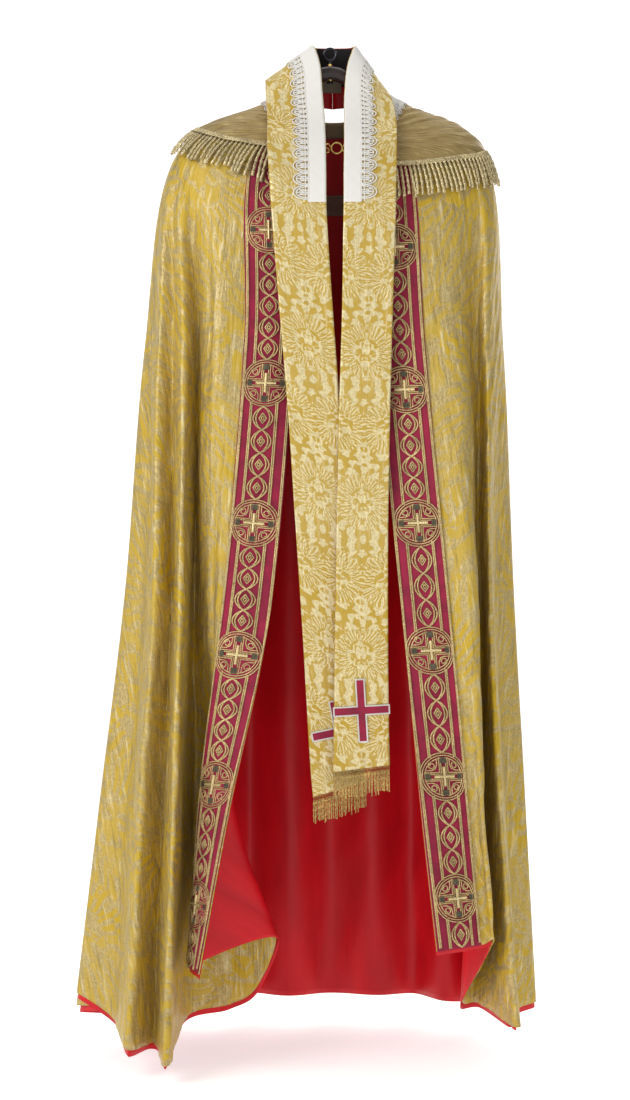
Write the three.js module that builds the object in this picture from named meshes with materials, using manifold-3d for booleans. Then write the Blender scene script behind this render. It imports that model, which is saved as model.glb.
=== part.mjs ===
// A brocade cope with its stole, hung on a steep wooden hanger with a swivelling eye.
// Units are millimetres and +Z is up. The origin is the seat inside the top of the hanging eye,
// +X is to the viewer's right and +Y points from the open front towards the back.
// The cope is one draped surface: columns run from the neck to the hem, and rows cross them.
// Shell, lining, orphreys, hood and trimmings are layers of that surface at their own heights.
import * as THREE from "three";
import { mergeVertices } from "three/addons/utils/BufferGeometryUtils.js";
import Module from "manifold-3d";

const wasm = await Module();
wasm.setup();

// ---- Driving dimensions ----
const NECK = { x: 80, y: 60, centreX: 6, centreY: 5, side: -72, backDrop: 26, frontDrop: 78 };
const SHOULDER = { x: 232, y: 78, side: -162, drop: 45, squareness: 0.7 };
const FRONT_NECK_ANGLE = 40; // degrees from the front centre to each front edge at the neck
const CHEST_Z = -450;
const MID_Z = -808;
const LOW_Z = -1120;
const SHELL = 2.0; // thickness of brocade with its interlining
const LINING_GAP = 0.9;
const LINING = 1.0;
const ORPHREY = { lift: 0.6, thick: 1.0 };
const ROUNDEL = { radius: 35, lift: 4.0, thick: 0.8, sides: 14 };
// The hood sits a little to the right, so its lower edge is nearer the neck on the left.
const HOOD = { lift: 5.0, thick: 1.6 };
const HOOD_ROWS = { frontLeft: 0.62, sideLeft: 0.76, back: 1, sideRight: 1, frontRight: 0.88 };
const FRINGE = { drop: 46, gap: 0.6, thick: 2.6 };
const COLLAR = { lift: 1.8, thick: 0.8, footRow: 0.36 };
const STOLE = { thick: 2.4, fringe: 38, laceLift: 1.3, laceThick: 0.8 };
const SEAM = 0.9; // half the gap between neighbouring panels, along the cloth
const HINGE_GAP = 1.2; // along the cloth, at the cut where a front swings

// ---- The drape ----
// One entry for each cloth line, from the left front edge round the back to the right front edge:
// its name, shoulder angle in degrees, x, y at the chest, middle and low rows, and x, y, z at the hem.
const COLUMNS = [
  ["left edge", 6.2, [-52, -95], [-86, -121], [-145, -168], [-188, -196, -1352]],
  ["left band", 23.5, [-126, -105], [-156, -120], [-189, -114], [-199, -122, -1345]],
  ["left curl", 34, [-163, -104], [-167, -103], [-147, -83], [-84, -72, -1314]],
  ["left turn", 38.5, [-174, -92], [-177, -96], [-154, -65], [-108, -46, -1396]],
  ["left return", 43, [-185, -78], [-186, -74], [-171, -49], [-150, -38, -1424]],
  ["left gully", 51, [-196, -50], [-203, -40], [-207, -38], [-212, -56, -1438]],
  ["left ridge", 59, [-214, -79], [-217, -120], [-224, -159], [-232, -204, -1480]],
  ["left dip", 66, [-231, -53], [-233, -69], [-244, -90], [-256, -112, -1466]],
  ["left roll", 73, [-252, -61], [-257, -96], [-275, -128], [-292, -160, -1466]],
  ["left tuck", 81, [-262, -31], [-273, -39], [-297, -48], [-320, -58, -1440]],
  ["left side", 90, [-278, -5], [-307, -4], [-344, -12], [-378, -20, -1410]],
  ["left rear dip", 98, [-267, 28], [-286, 42], [-316, 46], [-352, 46, -1440]],
  ["left rear roll", 107, [-264, 62], [-300, 95], [-339, 101], [-384, 98, -1452]],
  ["left rear gully", 117, [-233, 79], [-250, 110], [-266, 124], [-284, 136, -1462]],
  ["left back ridge", 128, [-208, 106], [-226, 162], [-241, 196], [-254, 226, -1470]],
  ["left back dip", 140, [-162, 99], [-173, 143], [-182, 169], [-190, 192, -1452]],
  ["back ridge 1", 154, [-115, 112], [-122, 180], [-127, 223], [-130, 258, -1452]],
  ["back dip 1", 167, [-60, 108], [-61, 160], [-62, 196], [-64, 226, -1450]],
  ["back centre", 180, [0, 115], [2, 183], [3, 227], [4, 262, -1452]],
  ["back dip 2", 193, [61, 109], [64, 161], [67, 199], [70, 230, -1450]],
  ["back ridge 2", 206, [116, 112], [124, 179], [131, 221], [138, 256, -1452]],
  ["right back dip", 220, [162, 98], [169, 141], [177, 165], [184, 188, -1452]],
  ["right back ridge", 232, [199, 101], [219, 158], [230, 190], [242, 218, -1458]],
  ["right rear gully", 243, [223, 76], [229, 102], [238, 116], [246, 128, -1450]],
  ["right rear roll", 253, [245, 61], [263, 92], [279, 109], [294, 124, -1450]],
  ["right rear dip", 262, [247, 27], [252, 39], [262, 47], [272, 54, -1432]],
  ["right side", 270, [260, -6], [275, -9], [292, -11], [308, -12, -1424]],
  ["right tuck", 281, [245, -39], [246, -43], [258, -45], [274, -52, -1430]],
  ["right ridge", 295, [231, -71], [233, -104], [246, -125], [268, -140, -1438]],
  ["right hollow", 302, [219, -56], [226, -58], [228, -52], [222, -38, -1422]],
  ["right gully", 309, [208, -62], [212, -60], [209, -52], [196, -46, -1416]],
  ["right return", 322, [187, -101], [208, -136], [219, -149], [232, -148, -1316]],
  ["right band", 336.5, [138, -108], [170, -137], [198, -149], [216, -150, -1318]],
  ["right edge", 353.8, [65, -96], [101, -130], [129, -175], [151, -190, -1321]],
].map(([name, angle, chest, mid, low, hem]) => ({ name, angle, chest, mid, low, hem }));
const LAST = COLUMNS.length - 1;
const at = (name) => COLUMNS.findIndex((column) => column.name === name);
const LEFT_SIDE = at("left side");
const RIGHT_SIDE = at("right side");
const ROWS = { neck: 0, shoulder: 1, chest: 2, mid: 3, low: 4, hem: 5 };

const radians = THREE.MathUtils.degToRad;
const powered = (value, power) => Math.sign(value) * Math.abs(value) ** power;

// The neckline: an oval that dips at the back and falls further at the front.
function neckPoint(angle) {
  const turn = radians(180 + ((angle - 180) * (180 - FRONT_NECK_ANGLE)) / (180 - COLUMNS[0].angle));
  const front = Math.max(0, Math.cos(turn));
  const back = Math.max(0, -Math.cos(turn));
  return new THREE.Vector3(
    NECK.centreX - NECK.x * Math.sin(turn),
    NECK.centreY - NECK.y * Math.cos(turn),
    NECK.side - NECK.frontDrop * front ** 1.5 - NECK.backDrop * back ** 2,
  );
}

// The line where the cloth leaves the shoulders and starts to hang.
function shoulderPoint(angle) {
  const turn = radians(angle);
  return new THREE.Vector3(
    -SHOULDER.x * powered(Math.sin(turn), SHOULDER.squareness),
    -SHOULDER.y * powered(Math.cos(turn), SHOULDER.squareness),
    SHOULDER.side - SHOULDER.drop * Math.abs(Math.cos(turn)) ** 1.2,
  );
}

// The cut where a front can swing lies square to that front's hinge, so it is a tilted plane.
function hingeOf(index) {
  const { mid, hem } = COLUMNS[index];
  const top = new THREE.Vector3(mid[0], mid[1], MID_Z);
  const foot = new THREE.Vector3(...hem);
  return { top, down: foot.clone().sub(top).normalize() };
}
function middleHeight(index, x, y) {
  if (index > LEFT_SIDE && index < RIGHT_SIDE) return MID_Z;
  const { top, down } = hingeOf(index <= LEFT_SIDE ? LEFT_SIDE : RIGHT_SIDE);
  return top.z - (down.x * (x - top.x) + down.y * (y - top.y)) / down.z;
}

const NET = COLUMNS.map(({ angle, chest, mid, low, hem }, index) => [
  neckPoint(angle),
  shoulderPoint(angle),
  new THREE.Vector3(chest[0], chest[1], CHEST_Z),
  new THREE.Vector3(mid[0], mid[1], middleHeight(index, mid[0], mid[1])),
  new THREE.Vector3(low[0], low[1], LOW_Z),
  new THREE.Vector3(...hem),
]);

// Catmull-Rom interpolation of a list of points at a fractional position.
function along(points, position) {
  const start = Math.min(Math.floor(position), points.length - 2);
  const t = position - start;
  const b = points[start];
  const c = points[start + 1];
  const a = points[start - 1] ?? b.clone().multiplyScalar(2).sub(c);
  const d = points[start + 2] ?? c.clone().multiplyScalar(2).sub(b);
  const weights = [
    -0.5 * t ** 3 + t ** 2 - 0.5 * t,
    1.5 * t ** 3 - 2.5 * t ** 2 + 1,
    -1.5 * t ** 3 + 2 * t ** 2 + 0.5 * t,
    0.5 * t ** 3 - 0.5 * t ** 2,
  ];
  return [a, b, c, d].reduce((sum, p, i) => sum.addScaledVector(p, weights[i]), new THREE.Vector3());
}
const drape = (column, row) => along(NET.map((line) => along(line, row)), column);

// Every layer is cut from one common grid, so that parallel layers never cross. A grid point's
// normal halves the angle between the facets on its two sides, and between those above and below.
const PER_COLUMN = 2;
const PER_ROW = 2;
const POINTS = Array.from({ length: ROWS.hem * PER_ROW + 1 }, (_, i) =>
  Array.from({ length: LAST * PER_COLUMN + 1 }, (_, j) => drape(j / PER_COLUMN, i / PER_ROW)),
);
function outward(i, j) {
  const unit = (from, to) => (from && to ? to.clone().sub(from).normalize() : new THREE.Vector3());
  const across = unit(POINTS[i][j - 1], POINTS[i][j]).add(unit(POINTS[i][j], POINTS[i][j + 1]));
  const down = unit(POINTS[i - 1]?.[j], POINTS[i][j]).add(unit(POINTS[i][j], POINTS[i + 1]?.[j]));
  return across.cross(down).normalize();
}
const GRID = POINTS.map((line, i) => line.map((point, j) => ({ point, normal: outward(i, j) })));
// A place on the grid's facets, which are cut along the diagonal from the upper left.
function cloth(column, row) {
  const i = Math.min(Math.floor(row * PER_ROW), ROWS.hem * PER_ROW - 1);
  const j = Math.min(Math.floor(column * PER_COLUMN), LAST * PER_COLUMN - 1);
  const [s, t] = [row * PER_ROW - i, column * PER_COLUMN - j];
  const side = s >= t ? GRID[i + 1][j] : GRID[i][j + 1];
  const mix = (key) =>
    new THREE.Vector3()
      .addScaledVector(GRID[i][j][key], 1 - Math.max(s, t))
      .addScaledVector(side[key], Math.abs(s - t))
      .addScaledVector(GRID[i + 1][j + 1][key], Math.min(s, t));
  return { point: mix("point"), normal: mix("normal").normalize() };
}

// ---- Solids ----
// A closed solid between two matching grids of points, outer first.
function slab(outer, inner) {
  const rows = outer.length;
  const columns = outer[0].length;
  const positions = [...outer.flat(), ...inner.flat()].flatMap((p) => [p.x, p.y, p.z]);
  const id = (side, i, j) => side * rows * columns + i * columns + j;
  const index = [];
  const quad = (a, b, c, d) => index.push(a, b, c, a, c, d);
  for (let i = 0; i + 1 < rows; i++) {
    for (let j = 0; j + 1 < columns; j++) {
      quad(id(0, i, j), id(0, i + 1, j), id(0, i + 1, j + 1), id(0, i, j + 1));
      quad(id(1, i, j), id(1, i, j + 1), id(1, i + 1, j + 1), id(1, i + 1, j));
    }
    quad(id(0, i, 0), id(1, i, 0), id(1, i + 1, 0), id(0, i + 1, 0));
    const end = columns - 1;
    quad(id(0, i, end), id(0, i + 1, end), id(1, i + 1, end), id(1, i, end));
  }
  for (let j = 0; j + 1 < columns; j++) {
    quad(id(0, 0, j), id(0, 0, j + 1), id(1, 0, j + 1), id(1, 0, j));
    quad(id(0, rows - 1, j), id(1, rows - 1, j), id(1, rows - 1, j + 1), id(0, rows - 1, j + 1));
  }
  return outwardFacing(positions, index);
}

// A geometry from raw positions and faces, turned so that its faces point out.
function outwardFacing(positions, index) {
  const volume = index.reduce((sum, _, k) => {
    if (k % 3) return sum;
    const [a, b, c] = [0, 1, 2].map((n) => new THREE.Vector3().fromArray(positions, index[k + n] * 3));
    return sum + a.dot(b.cross(c));
  }, 0);
  const faces = volume < 0 ? index.map((_, k) => index[k - (k % 3) + [0, 2, 1][k % 3]]) : index;
  return new THREE.BufferGeometry()
    .setAttribute("position", new THREE.Float32BufferAttribute(positions, 3))
    .setIndex(faces)
    .toNonIndexed();
}

const steps = (from, to, count) =>
  Array.from({ length: count + 1 }, (_, i) => from + ((to - from) * i) / count);

// The ends of a stretch, with the common grid's own lines between them.
function gridLines(from, to, perUnit) {
  const lines = [from];
  for (let k = Math.floor(from * perUnit + 1e-6) + 1; k < to * perUnit - 1e-6; k++) lines.push(k / perUnit);
  return [...lines, to];
}

// One layer of the drape between two columns, over the rows given for each column, its outer face
// at a height above the cloth. Its sides are drawn in by the seam, its top and foot by rise.
function layerOver(columnRange, rowsAt, height, thick, { rise = [0, 0] } = {}) {
  const columns = gridLines(...columnRange, PER_COLUMN);
  const lines = columns.map((column) => rowsAt(column).map((row) => cloth(column, row)));
  const points = lines[0].map((_, i) => lines.map((line) => line[i]));
  const shorten = (end, next, by) => end.point.add(next.point.clone().sub(end.point).setLength(by));
  for (const row of points) {
    shorten(row[0], row[1], SEAM);
    shorten(row.at(-1), row.at(-2), SEAM);
  }
  for (const line of lines) {
    shorten(line[0], line[1], rise[0]);
    shorten(line.at(-1), line.at(-2), rise[1]);
  }
  const lift = (h) => (spot) => spot.point.clone().addScaledVector(spot.normal, h);
  const face = (h) => points.map((row) => row.map(lift(h)));
  return slab(face(height), face(height - thick));
}
const layer = (columnRange, rowRange, height, thick, options) =>
  layerOver(columnRange, () => gridLines(...rowRange, PER_ROW), height, thick, options);

// ---- Materials ----
const finish = (color, roughness, metalness = 0) =>
  new THREE.MeshStandardMaterial({ color, roughness, metalness });
const BROCADE = finish("#c9a649", 0.5, 0.25);
const HOOD_CLOTH = finish("#9c8450", 0.5, 0.3);
const SATIN = finish("#c8141f", 0.35);
const VELVET = finish("#8e1f45", 0.85);
const GOLD_THREAD = finish("#b39a68", 0.4, 0.6);
const BULLION = finish("#cdb577", 0.35, 0.6);
const LINEN = finish("#f2f0ec", 0.9);
const TAPE = finish("#6d6658", 0.9);
const WOOD = finish("#231a14", 0.45);
const BRASS = finish("#c9b27a", 0.3, 1);
const STEEL = finish("#26262a", 0.4, 1);
const KHAKI = finish("#a8834a", 0.8);

const vestment = new THREE.Group();
function add(name, geometry, material, parent = vestment) {
  const mesh = new THREE.Mesh(geometry, material);
  mesh.name = name;
  parent.add(mesh);
  return mesh;
}

// ---- Cope shell and lining ----
const CUT = HINGE_GAP / 2;
const upper = [ROWS.neck, ROWS.mid];
const lower = [ROWS.mid, ROWS.hem];
const whole = [ROWS.neck, ROWS.hem];
function addCope() {
  // The seams run down the slopes of the folds, half way between a ridge and its gully.
  const leftSeam = at("left gully") + 0.5;
  const rightSeam = at("right ridge") - 0.5;
  const leftBackSeam = at("left back dip") + 0.5;
  const rightBackSeam = at("right back dip") - 0.5;
  const panels = [
    ["shell_left_front", 0, leftSeam, upper],
    ["shell_left_shoulder", leftSeam, LEFT_SIDE, upper],
    ["shell_left_back", LEFT_SIDE, leftBackSeam, whole],
    ["shell_centre_back", leftBackSeam, rightBackSeam, whole],
    ["shell_right_back", rightBackSeam, RIGHT_SIDE, whole],
    ["shell_right_shoulder", RIGHT_SIDE, rightSeam, upper],
    ["shell_right_front", rightSeam, LAST, upper],
    ["shell_left_front_skirt", 0, leftSeam, lower],
    ["shell_left_side_skirt", leftSeam, LEFT_SIDE, lower],
    ["shell_right_side_skirt", RIGHT_SIDE, rightSeam, lower],
    ["shell_right_front_skirt", rightSeam, LAST, lower],
  ];
  const linings = [
    ["lining_left_front", 0, LEFT_SIDE, upper],
    ["lining_back", LEFT_SIDE, RIGHT_SIDE, whole],
    ["lining_right_front", RIGHT_SIDE, LAST, upper],
    ["lining_left_skirt", 0, LEFT_SIDE, lower],
    ["lining_right_skirt", RIGHT_SIDE, LAST, lower],
  ];
  const riseOf = (rows) => [rows === lower ? CUT : 0, rows === upper ? CUT : 0];
  for (const [name, from, to, rows] of panels) {
    add(name, layer([from, to], rows, 0, SHELL, { rise: riseOf(rows) }), BROCADE);
  }
  for (const [name, from, to, rows] of linings) {
    const under = -(SHELL + LINING_GAP);
    add(name, layer([from, to], rows, under, LINING, { rise: riseOf(rows) }), SATIN);
  }
}

// ---- Orphreys: velvet bands down both front edges, with embroidered roundels ----
// Heights at which the six roundels of each band are centred.
const ROUNDEL_HEIGHTS = {
  left: [-282, -507, -711, -902, -1089, -1260],
  right: [-307, -517, -711, -895, -1075, -1248],
};

// The row at which a column of the drape passes a height, found by halving.
function rowAt(column, z) {
  let [above, below] = [ROWS.neck, ROWS.hem];
  for (let k = 0; k < 20; k++) {
    const middle = (above + below) / 2;
    if (cloth(column, middle).point.z > z) above = middle;
    else below = middle;
  }
  return above;
}

// A disc on the cloth, as a centre and two rings of points for each of its faces.
function roundel(from, to, row) {
  const middle = (from + to) / 2;
  const reachAcross = drape(to, row).distanceTo(drape(from, row)) / (to - from);
  const reachDown = drape(middle, row + 0.1).distanceTo(drape(middle, row - 0.1)) / 0.2;
  const n = ROUNDEL.sides;
  const ring = (radius) =>
    steps(0, 2 * Math.PI, n).slice(0, -1).map((turn) =>
      cloth(
        THREE.MathUtils.clamp(middle + (radius * Math.cos(turn)) / reachAcross, from, to),
        row + (radius * Math.sin(turn)) / reachDown,
      ),
    );
  const spots = [cloth(middle, row), ...ring(ROUNDEL.radius / 2), ...ring(ROUNDEL.radius)];
  const raised = (height) => spots.map((s) => s.point.clone().addScaledVector(s.normal, height));
  const points = [...raised(ROUNDEL.lift + ROUNDEL.thick), ...raised(ROUNDEL.lift)];
  const faces = [];
  const quad = (a, b, c, d) => faces.push(a, b, c, a, c, d);
  for (let k = 0; k < n; k++) {
    const next = (k + 1) % n;
    const [a, b, c, d] = [1 + k, 1 + next, 1 + n + next, 1 + n + k];
    const under = spots.length;
    faces.push(0, a, b, under, under + b, under + a);
    quad(a, d, c, b);
    quad(under + a, under + b, under + c, under + d);
    quad(d, under + d, under + c, c);
  }
  return outwardFacing(points.flatMap((p) => [p.x, p.y, p.z]), faces);
}

function addOrphreys() {
  const sides = [
    ["left", at("left edge"), at("left band")],
    ["right", at("right band"), at("right edge")],
  ];
  const height = ORPHREY.lift + ORPHREY.thick;
  for (const [side, from, to] of sides) {
    const middle = (from + to) / 2;
    const band = (rows, rise) => layer([from, to], rows, height, ORPHREY.thick, { rise });
    add(`orphrey_${side}_upper`, band([0.5, ROWS.mid], [0, CUT]), VELVET);
    add(`orphrey_${side}_lower`, band(lower, [CUT, 0]), VELVET);
    ROUNDEL_HEIGHTS[side].forEach((z, k) => {
      add(`roundel_${side}_${k + 1}`, roundel(from, to, rowAt(middle, z)), GOLD_THREAD);
    });
  }
}

// ---- Hood: a shaped collar over the shoulders and a hinged shield on the back, all fringed ----
const FLAP = { top: -216, depth: 262, halfWidth: 150, y: 86, lean: 0.155, bow: 0.0005, thick: 1.6 };
const flapY = (x, z) => FLAP.y + FLAP.lean * (FLAP.top - z) - FLAP.bow * x * x;
const flapFoot = (x) => FLAP.top - FLAP.depth * Math.sqrt(1 - (x / (FLAP.halfWidth * 1.04)) ** 2);

// The row of the hood's lower edge at a column, and the rows of the fringe below it.
function hoodEdge(column) {
  const stops = [0, LEFT_SIDE, at("left back ridge"), at("right back ridge"), RIGHT_SIDE, LAST];
  const { frontLeft, sideLeft, back, sideRight, frontRight } = HOOD_ROWS;
  const rows = [frontLeft, sideLeft, back, back, sideRight, frontRight];
  const k = Math.min(stops.findLastIndex((stop) => stop <= column), stops.length - 2);
  return THREE.MathUtils.mapLinear(column, stops[k], stops[k + 1], rows[k], rows[k + 1]);
}
const hoodRows = (column) => steps(ROWS.neck, hoodEdge(column), 4);
function fringeRows(column) {
  const edge = hoodEdge(column);
  const perRow = cloth(column, edge).point.distanceTo(cloth(column, edge + 0.2).point) / 0.2;
  return steps(edge, edge + FRINGE.drop / perRow, 2);
}

function addHood() {
  const height = HOOD.lift + HOOD.thick;
  add("hood_left_front", layerOver([0, LEFT_SIDE], hoodRows, height, HOOD.thick), HOOD_CLOTH);
  add("hood_right_front", layerOver([RIGHT_SIDE, LAST], hoodRows, height, HOOD.thick), HOOD_CLOTH);
  add("hood_back_yoke", layerOver([LEFT_SIDE, RIGHT_SIDE], hoodRows, height, HOOD.thick), HOOD_CLOTH);
  const across = steps(-FLAP.halfWidth, FLAP.halfWidth, 12);
  const face = (lift) =>
    steps(0, 1, 5).map((t) =>
      across.map((x) => {
        const z = FLAP.top + (flapFoot(x) - FLAP.top) * t;
        return new THREE.Vector3(x, flapY(x, z) + lift, z);
      }),
    );
  add("hood_flap", slab(face(FLAP.thick), face(0)), HOOD_CLOTH);
  const hem = [0, 1].map((t) => across.map((x) => [x, flapFoot(x) - 0.4 - t * FRINGE.drop]));
  const onFlap = (lift) => ([x, z]) => new THREE.Vector3(x, flapY(x, z) + lift, z);
  const hemFace = (lift) => hem.map((line) => line.map(onFlap(lift)));
  add("hood_fringe_flap", slab(hemFace(FRINGE.thick - 0.6), hemFace(-0.6)), BULLION);
}

// The fringes follow the cloth below the hood's lower edge.
function addHoodFringes() {
  const height = HOOD.lift + FRINGE.thick;
  const options = { rise: [FRINGE.gap, 0] };
  add("hood_fringe_left", layerOver([0, LEFT_SIDE], fringeRows, height, FRINGE.thick, options), BULLION);
  add("hood_fringe_right", layerOver([RIGHT_SIDE, LAST], fringeRows, height, FRINGE.thick, options), BULLION);
}

// ---- Lace collar round the neckline, and the tapes inside it ----
function addNeckTrim() {
  const collarHeight = HOOD.lift + HOOD.thick + COLLAR.lift;
  add("collar_lace", layer([0, LAST], [ROWS.neck, COLLAR.footRow], collarHeight, COLLAR.thick), LINEN);
  const under = -(SHELL + LINING_GAP + LINING + 0.6);
  add("neck_tape", layer([6, LAST - 6], [ROWS.neck, 0.25], under, 0.8), TAPE);
  add("stay_tape", layer([at("left back dip"), at("right back dip")], [1, 1.15], under, 0.8), TAPE);
}

// ---- Hanger ----
const HANGER = { tip: 222, apex: -24, tipZ: -178, depth: 19, height: 22, sides: 12 };
function hangerGeometry() {
  const spine = new THREE.CatmullRomCurve3(
    [
      [-HANGER.tip, HANGER.tipZ],
      [-150, -138],
      [-84, -116],
      [-42, -56],
      [0, HANGER.apex - HANGER.height / 2],
      [42, -56],
      [84, -116],
      [150, -138],
      [HANGER.tip, HANGER.tipZ],
    ].map(([x, z]) => new THREE.Vector3(x, 0, z)),
  );
  const front = new THREE.Vector3(0, 1, 0);
  const stations = spine.getPoints(28);
  const rings = stations.map((centre, k) => {
    const before = stations[Math.max(0, k - 1)];
    const after = stations[Math.min(stations.length - 1, k + 1)];
    const tangent = after.clone().sub(before).normalize();
    const up = new THREE.Vector3(-tangent.z, 0, tangent.x);
    const spread = 1 + 1.1 * Math.max(0, (Math.abs(centre.x) - 130) / 94);
    const taper = 1 - 0.35 * Math.min(1, Math.abs(centre.x) / HANGER.tip);
    return steps(0, 2 * Math.PI, HANGER.sides).slice(0, -1).map((turn) =>
      centre.clone()
        .addScaledVector(front, 0.5 * HANGER.depth * spread * powered(Math.cos(turn), 0.7))
        .addScaledVector(up, 0.5 * HANGER.height * taper * powered(Math.sin(turn), 0.7)),
    );
  });
  const positions = rings.flat().flatMap((p) => [p.x, p.y, p.z]);
  const n = HANGER.sides;
  const index = [];
  for (let k = 0; k + 1 < rings.length; k++) {
    for (let s = 0; s < n; s++) {
      const [a, b] = [k * n + s, k * n + ((s + 1) % n)];
      index.push(a, b, b + n, a, b + n, a + n);
    }
  }
  for (let s = 1; s + 1 < n; s++) {
    const end = (rings.length - 1) * n;
    index.push(0, s + 1, s, end, end + s, end + s + 1);
  }
  return outwardFacing(positions, index);
}

const solidOf = (geometry) => {
  const bare = geometry.index ? geometry.toNonIndexed() : geometry.clone();
  const plain = new THREE.BufferGeometry().setAttribute("position", bare.getAttribute("position"));
  const merged = mergeVertices(plain, 1e-3);
  return new wasm.Manifold(
    new wasm.Mesh({
      numProp: 3,
      vertProperties: merged.attributes.position.array,
      triVerts: new Uint32Array(merged.index.array),
    }),
  );
};
const geometryOf = (solid) => {
  const { vertProperties, triVerts } = solid.getMesh();
  return new THREE.BufferGeometry()
    .setAttribute("position", new THREE.Float32BufferAttribute(vertProperties, 3))
    .setIndex([...triVerts])
    .toNonIndexed();
};
const revolved = (profile, segments) =>
  new THREE.LatheGeometry(profile.map(([r, z]) => new THREE.Vector2(r, z)), segments).rotateX(Math.PI / 2);

const EYE = { hole: 7, wire: 2, shank: 2.2, head: 4.6, play: 0.6 };
const BUSH = { outer: 5, bore: 2.6, top: -22, foot: -47 };
function addHanger() {
  const { outer, bore, top, foot } = BUSH;
  const drilled = new THREE.CylinderGeometry(outer + 0.3, outer + 0.3, 60, 16).rotateX(Math.PI / 2);
  drilled.translate(0, 0, (top + foot) / 2);
  add("hanger_body", geometryOf(solidOf(hangerGeometry()).subtract(solidOf(drilled))), WOOD);
  const sleeve = [[bore, foot], [outer, foot], [outer, top], [bore, top], [bore, foot]];
  add("hanger_bush", revolved(sleeve, 16), BRASS);
  const ring = new THREE.TorusGeometry(EYE.hole + EYE.wire, EYE.wire, 8, 20).rotateX(Math.PI / 2);
  ring.translate(0, 0, -EYE.hole);
  const neck = -2 * EYE.hole - EYE.wire;
  const [under, over] = [foot - EYE.play, top + EYE.play];
  const head = [[0, under - 2.4], [EYE.head, under - 2.4], [EYE.head, under], [EYE.shank, under]];
  const washer = [[EYE.shank, over], [EYE.head, over], [EYE.head, over + 1.4]];
  const tip = [[EYE.shank, neck + 1], [0, neck + 1]];
  const shank = revolved([...head, ...washer, ...tip], 12);
  add("hanging_eye", geometryOf(solidOf(ring).add(solidOf(shank))), STEEL);
}

// ---- Clasp at the breast: two sewn plates, and an openwork bar hinged to the right one ----
const CLASP = { z: -160, y: -76, plateX: 62, wire: 1.5, pinX: 44 };
const flatRing = (x, radius) =>
  new THREE.TorusGeometry(radius, CLASP.wire, 6, 18).rotateX(Math.PI / 2).translate(x, CLASP.y, CLASP.z);
function bentWire(route, radius, count) {
  const path = new THREE.CatmullRomCurve3(route.map(([x, z]) => new THREE.Vector3(x, CLASP.y, CLASP.z + z)));
  const wire = new THREE.Shape().absarc(0, 0, radius, 0, 2 * Math.PI);
  const options = { steps: count, curveSegments: 3, bevelEnabled: false, extrudePath: path };
  return new THREE.ExtrudeGeometry(wire, options);
}
// An S-shaped scroll, its ends curled towards its neighbours on both sides.
function scroll(x, width, tall) {
  const half = [[0.62, 0.3], [0.2, 1], [-0.42, 0.72], [-0.2, 0.1]];
  const bends = [...half, ...half.map(([a, b]) => [-a, -b]).reverse()];
  return bentWire(bends.map(([a, b]) => [x + a * width, b * tall]), CLASP.wire * 0.85, 20);
}
function claspPlate(side) {
  const leaf = new THREE.Shape().absellipse(0, 0, 13, 11, 0, 2 * Math.PI);
  const body = new THREE.ExtrudeGeometry(leaf, { depth: 1.6, curveSegments: 8, bevelEnabled: false });
  body.rotateX(Math.PI / 2).translate(side * CLASP.plateX, CLASP.y + 0.8, CLASP.z);
  const lug = new THREE.CylinderGeometry(2.4, 2.4, 1.6, 12);
  lug.translate(side * (CLASP.pinX + 4), CLASP.y, CLASP.z);
  return geometryOf(solidOf(body).add(solidOf(lug)));
}
function addClasp() {
  add("clasp_plate_left", claspPlate(-1), BRASS);
  add("clasp_plate_right", claspPlate(1), BRASS);
  const rings = [flatRing(34.8, 5.4), flatRing(9.4, 8), flatRing(-17.6, 5.4)];
  const scrolls = [scroll(23.6, 8.6, 6.2), scroll(-5.4, 8.6, 6.2)];
  const bar = [...rings, ...scrolls].map(solidOf).reduce((whole, piece) => whole.add(piece));
  add("clasp_bar", geometryOf(bar), BRASS);
  const hook = [[-25.4, 0], [-31, 0], [-37.6, 1.4], [-40.2, 4.4], [-38, 7.4]];
  add("clasp_hook", bentWire(hook, 1.2, 12), BRASS);
}

// ---- Stole ----
// Cross-lines of the stole round the neck, from the left breast over the hanger to the right
// breast: the neck-side edge and the outer edge. The right shoulder has slid lower than the left.
const STOLE_NECK = [
  { inner: [-8, -56, -112], outer: [-93, -50, -112] },
  { inner: [-11, -38, -70], outer: [-95, -34, -84] },
  { inner: [-14, -28, -30], outer: [-96, -24, -62] },
  { inner: [-21, -17, -3], outer: [-96, -12, -51] },
  { inner: [-25, 0, 5], outer: [-95, 2, -48] },
  { inner: [-22, 18, 7], outer: [-80, 18, -56] },
  { inner: [-12, 26, 8], outer: [-50, 27, -76] },
  { inner: [4, 28, 8], outer: [4, 28, -84] },
  { inner: [20, 26, 8], outer: [54, 27, -78] },
  { inner: [31, 18, 7], outer: [72, 19, -62] },
  { inner: [36, 0, 5], outer: [79, 0, -58] },
  { inner: [33, -17, -3], outer: [86, -17, -68] },
  { inner: [25, -28, -30], outer: [92, -33, -82] },
  { inner: [21, -38, -70], outer: [96, -44, -98] },
  { inner: [20, -56, -112], outer: [98, -54, -116] },
];
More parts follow.
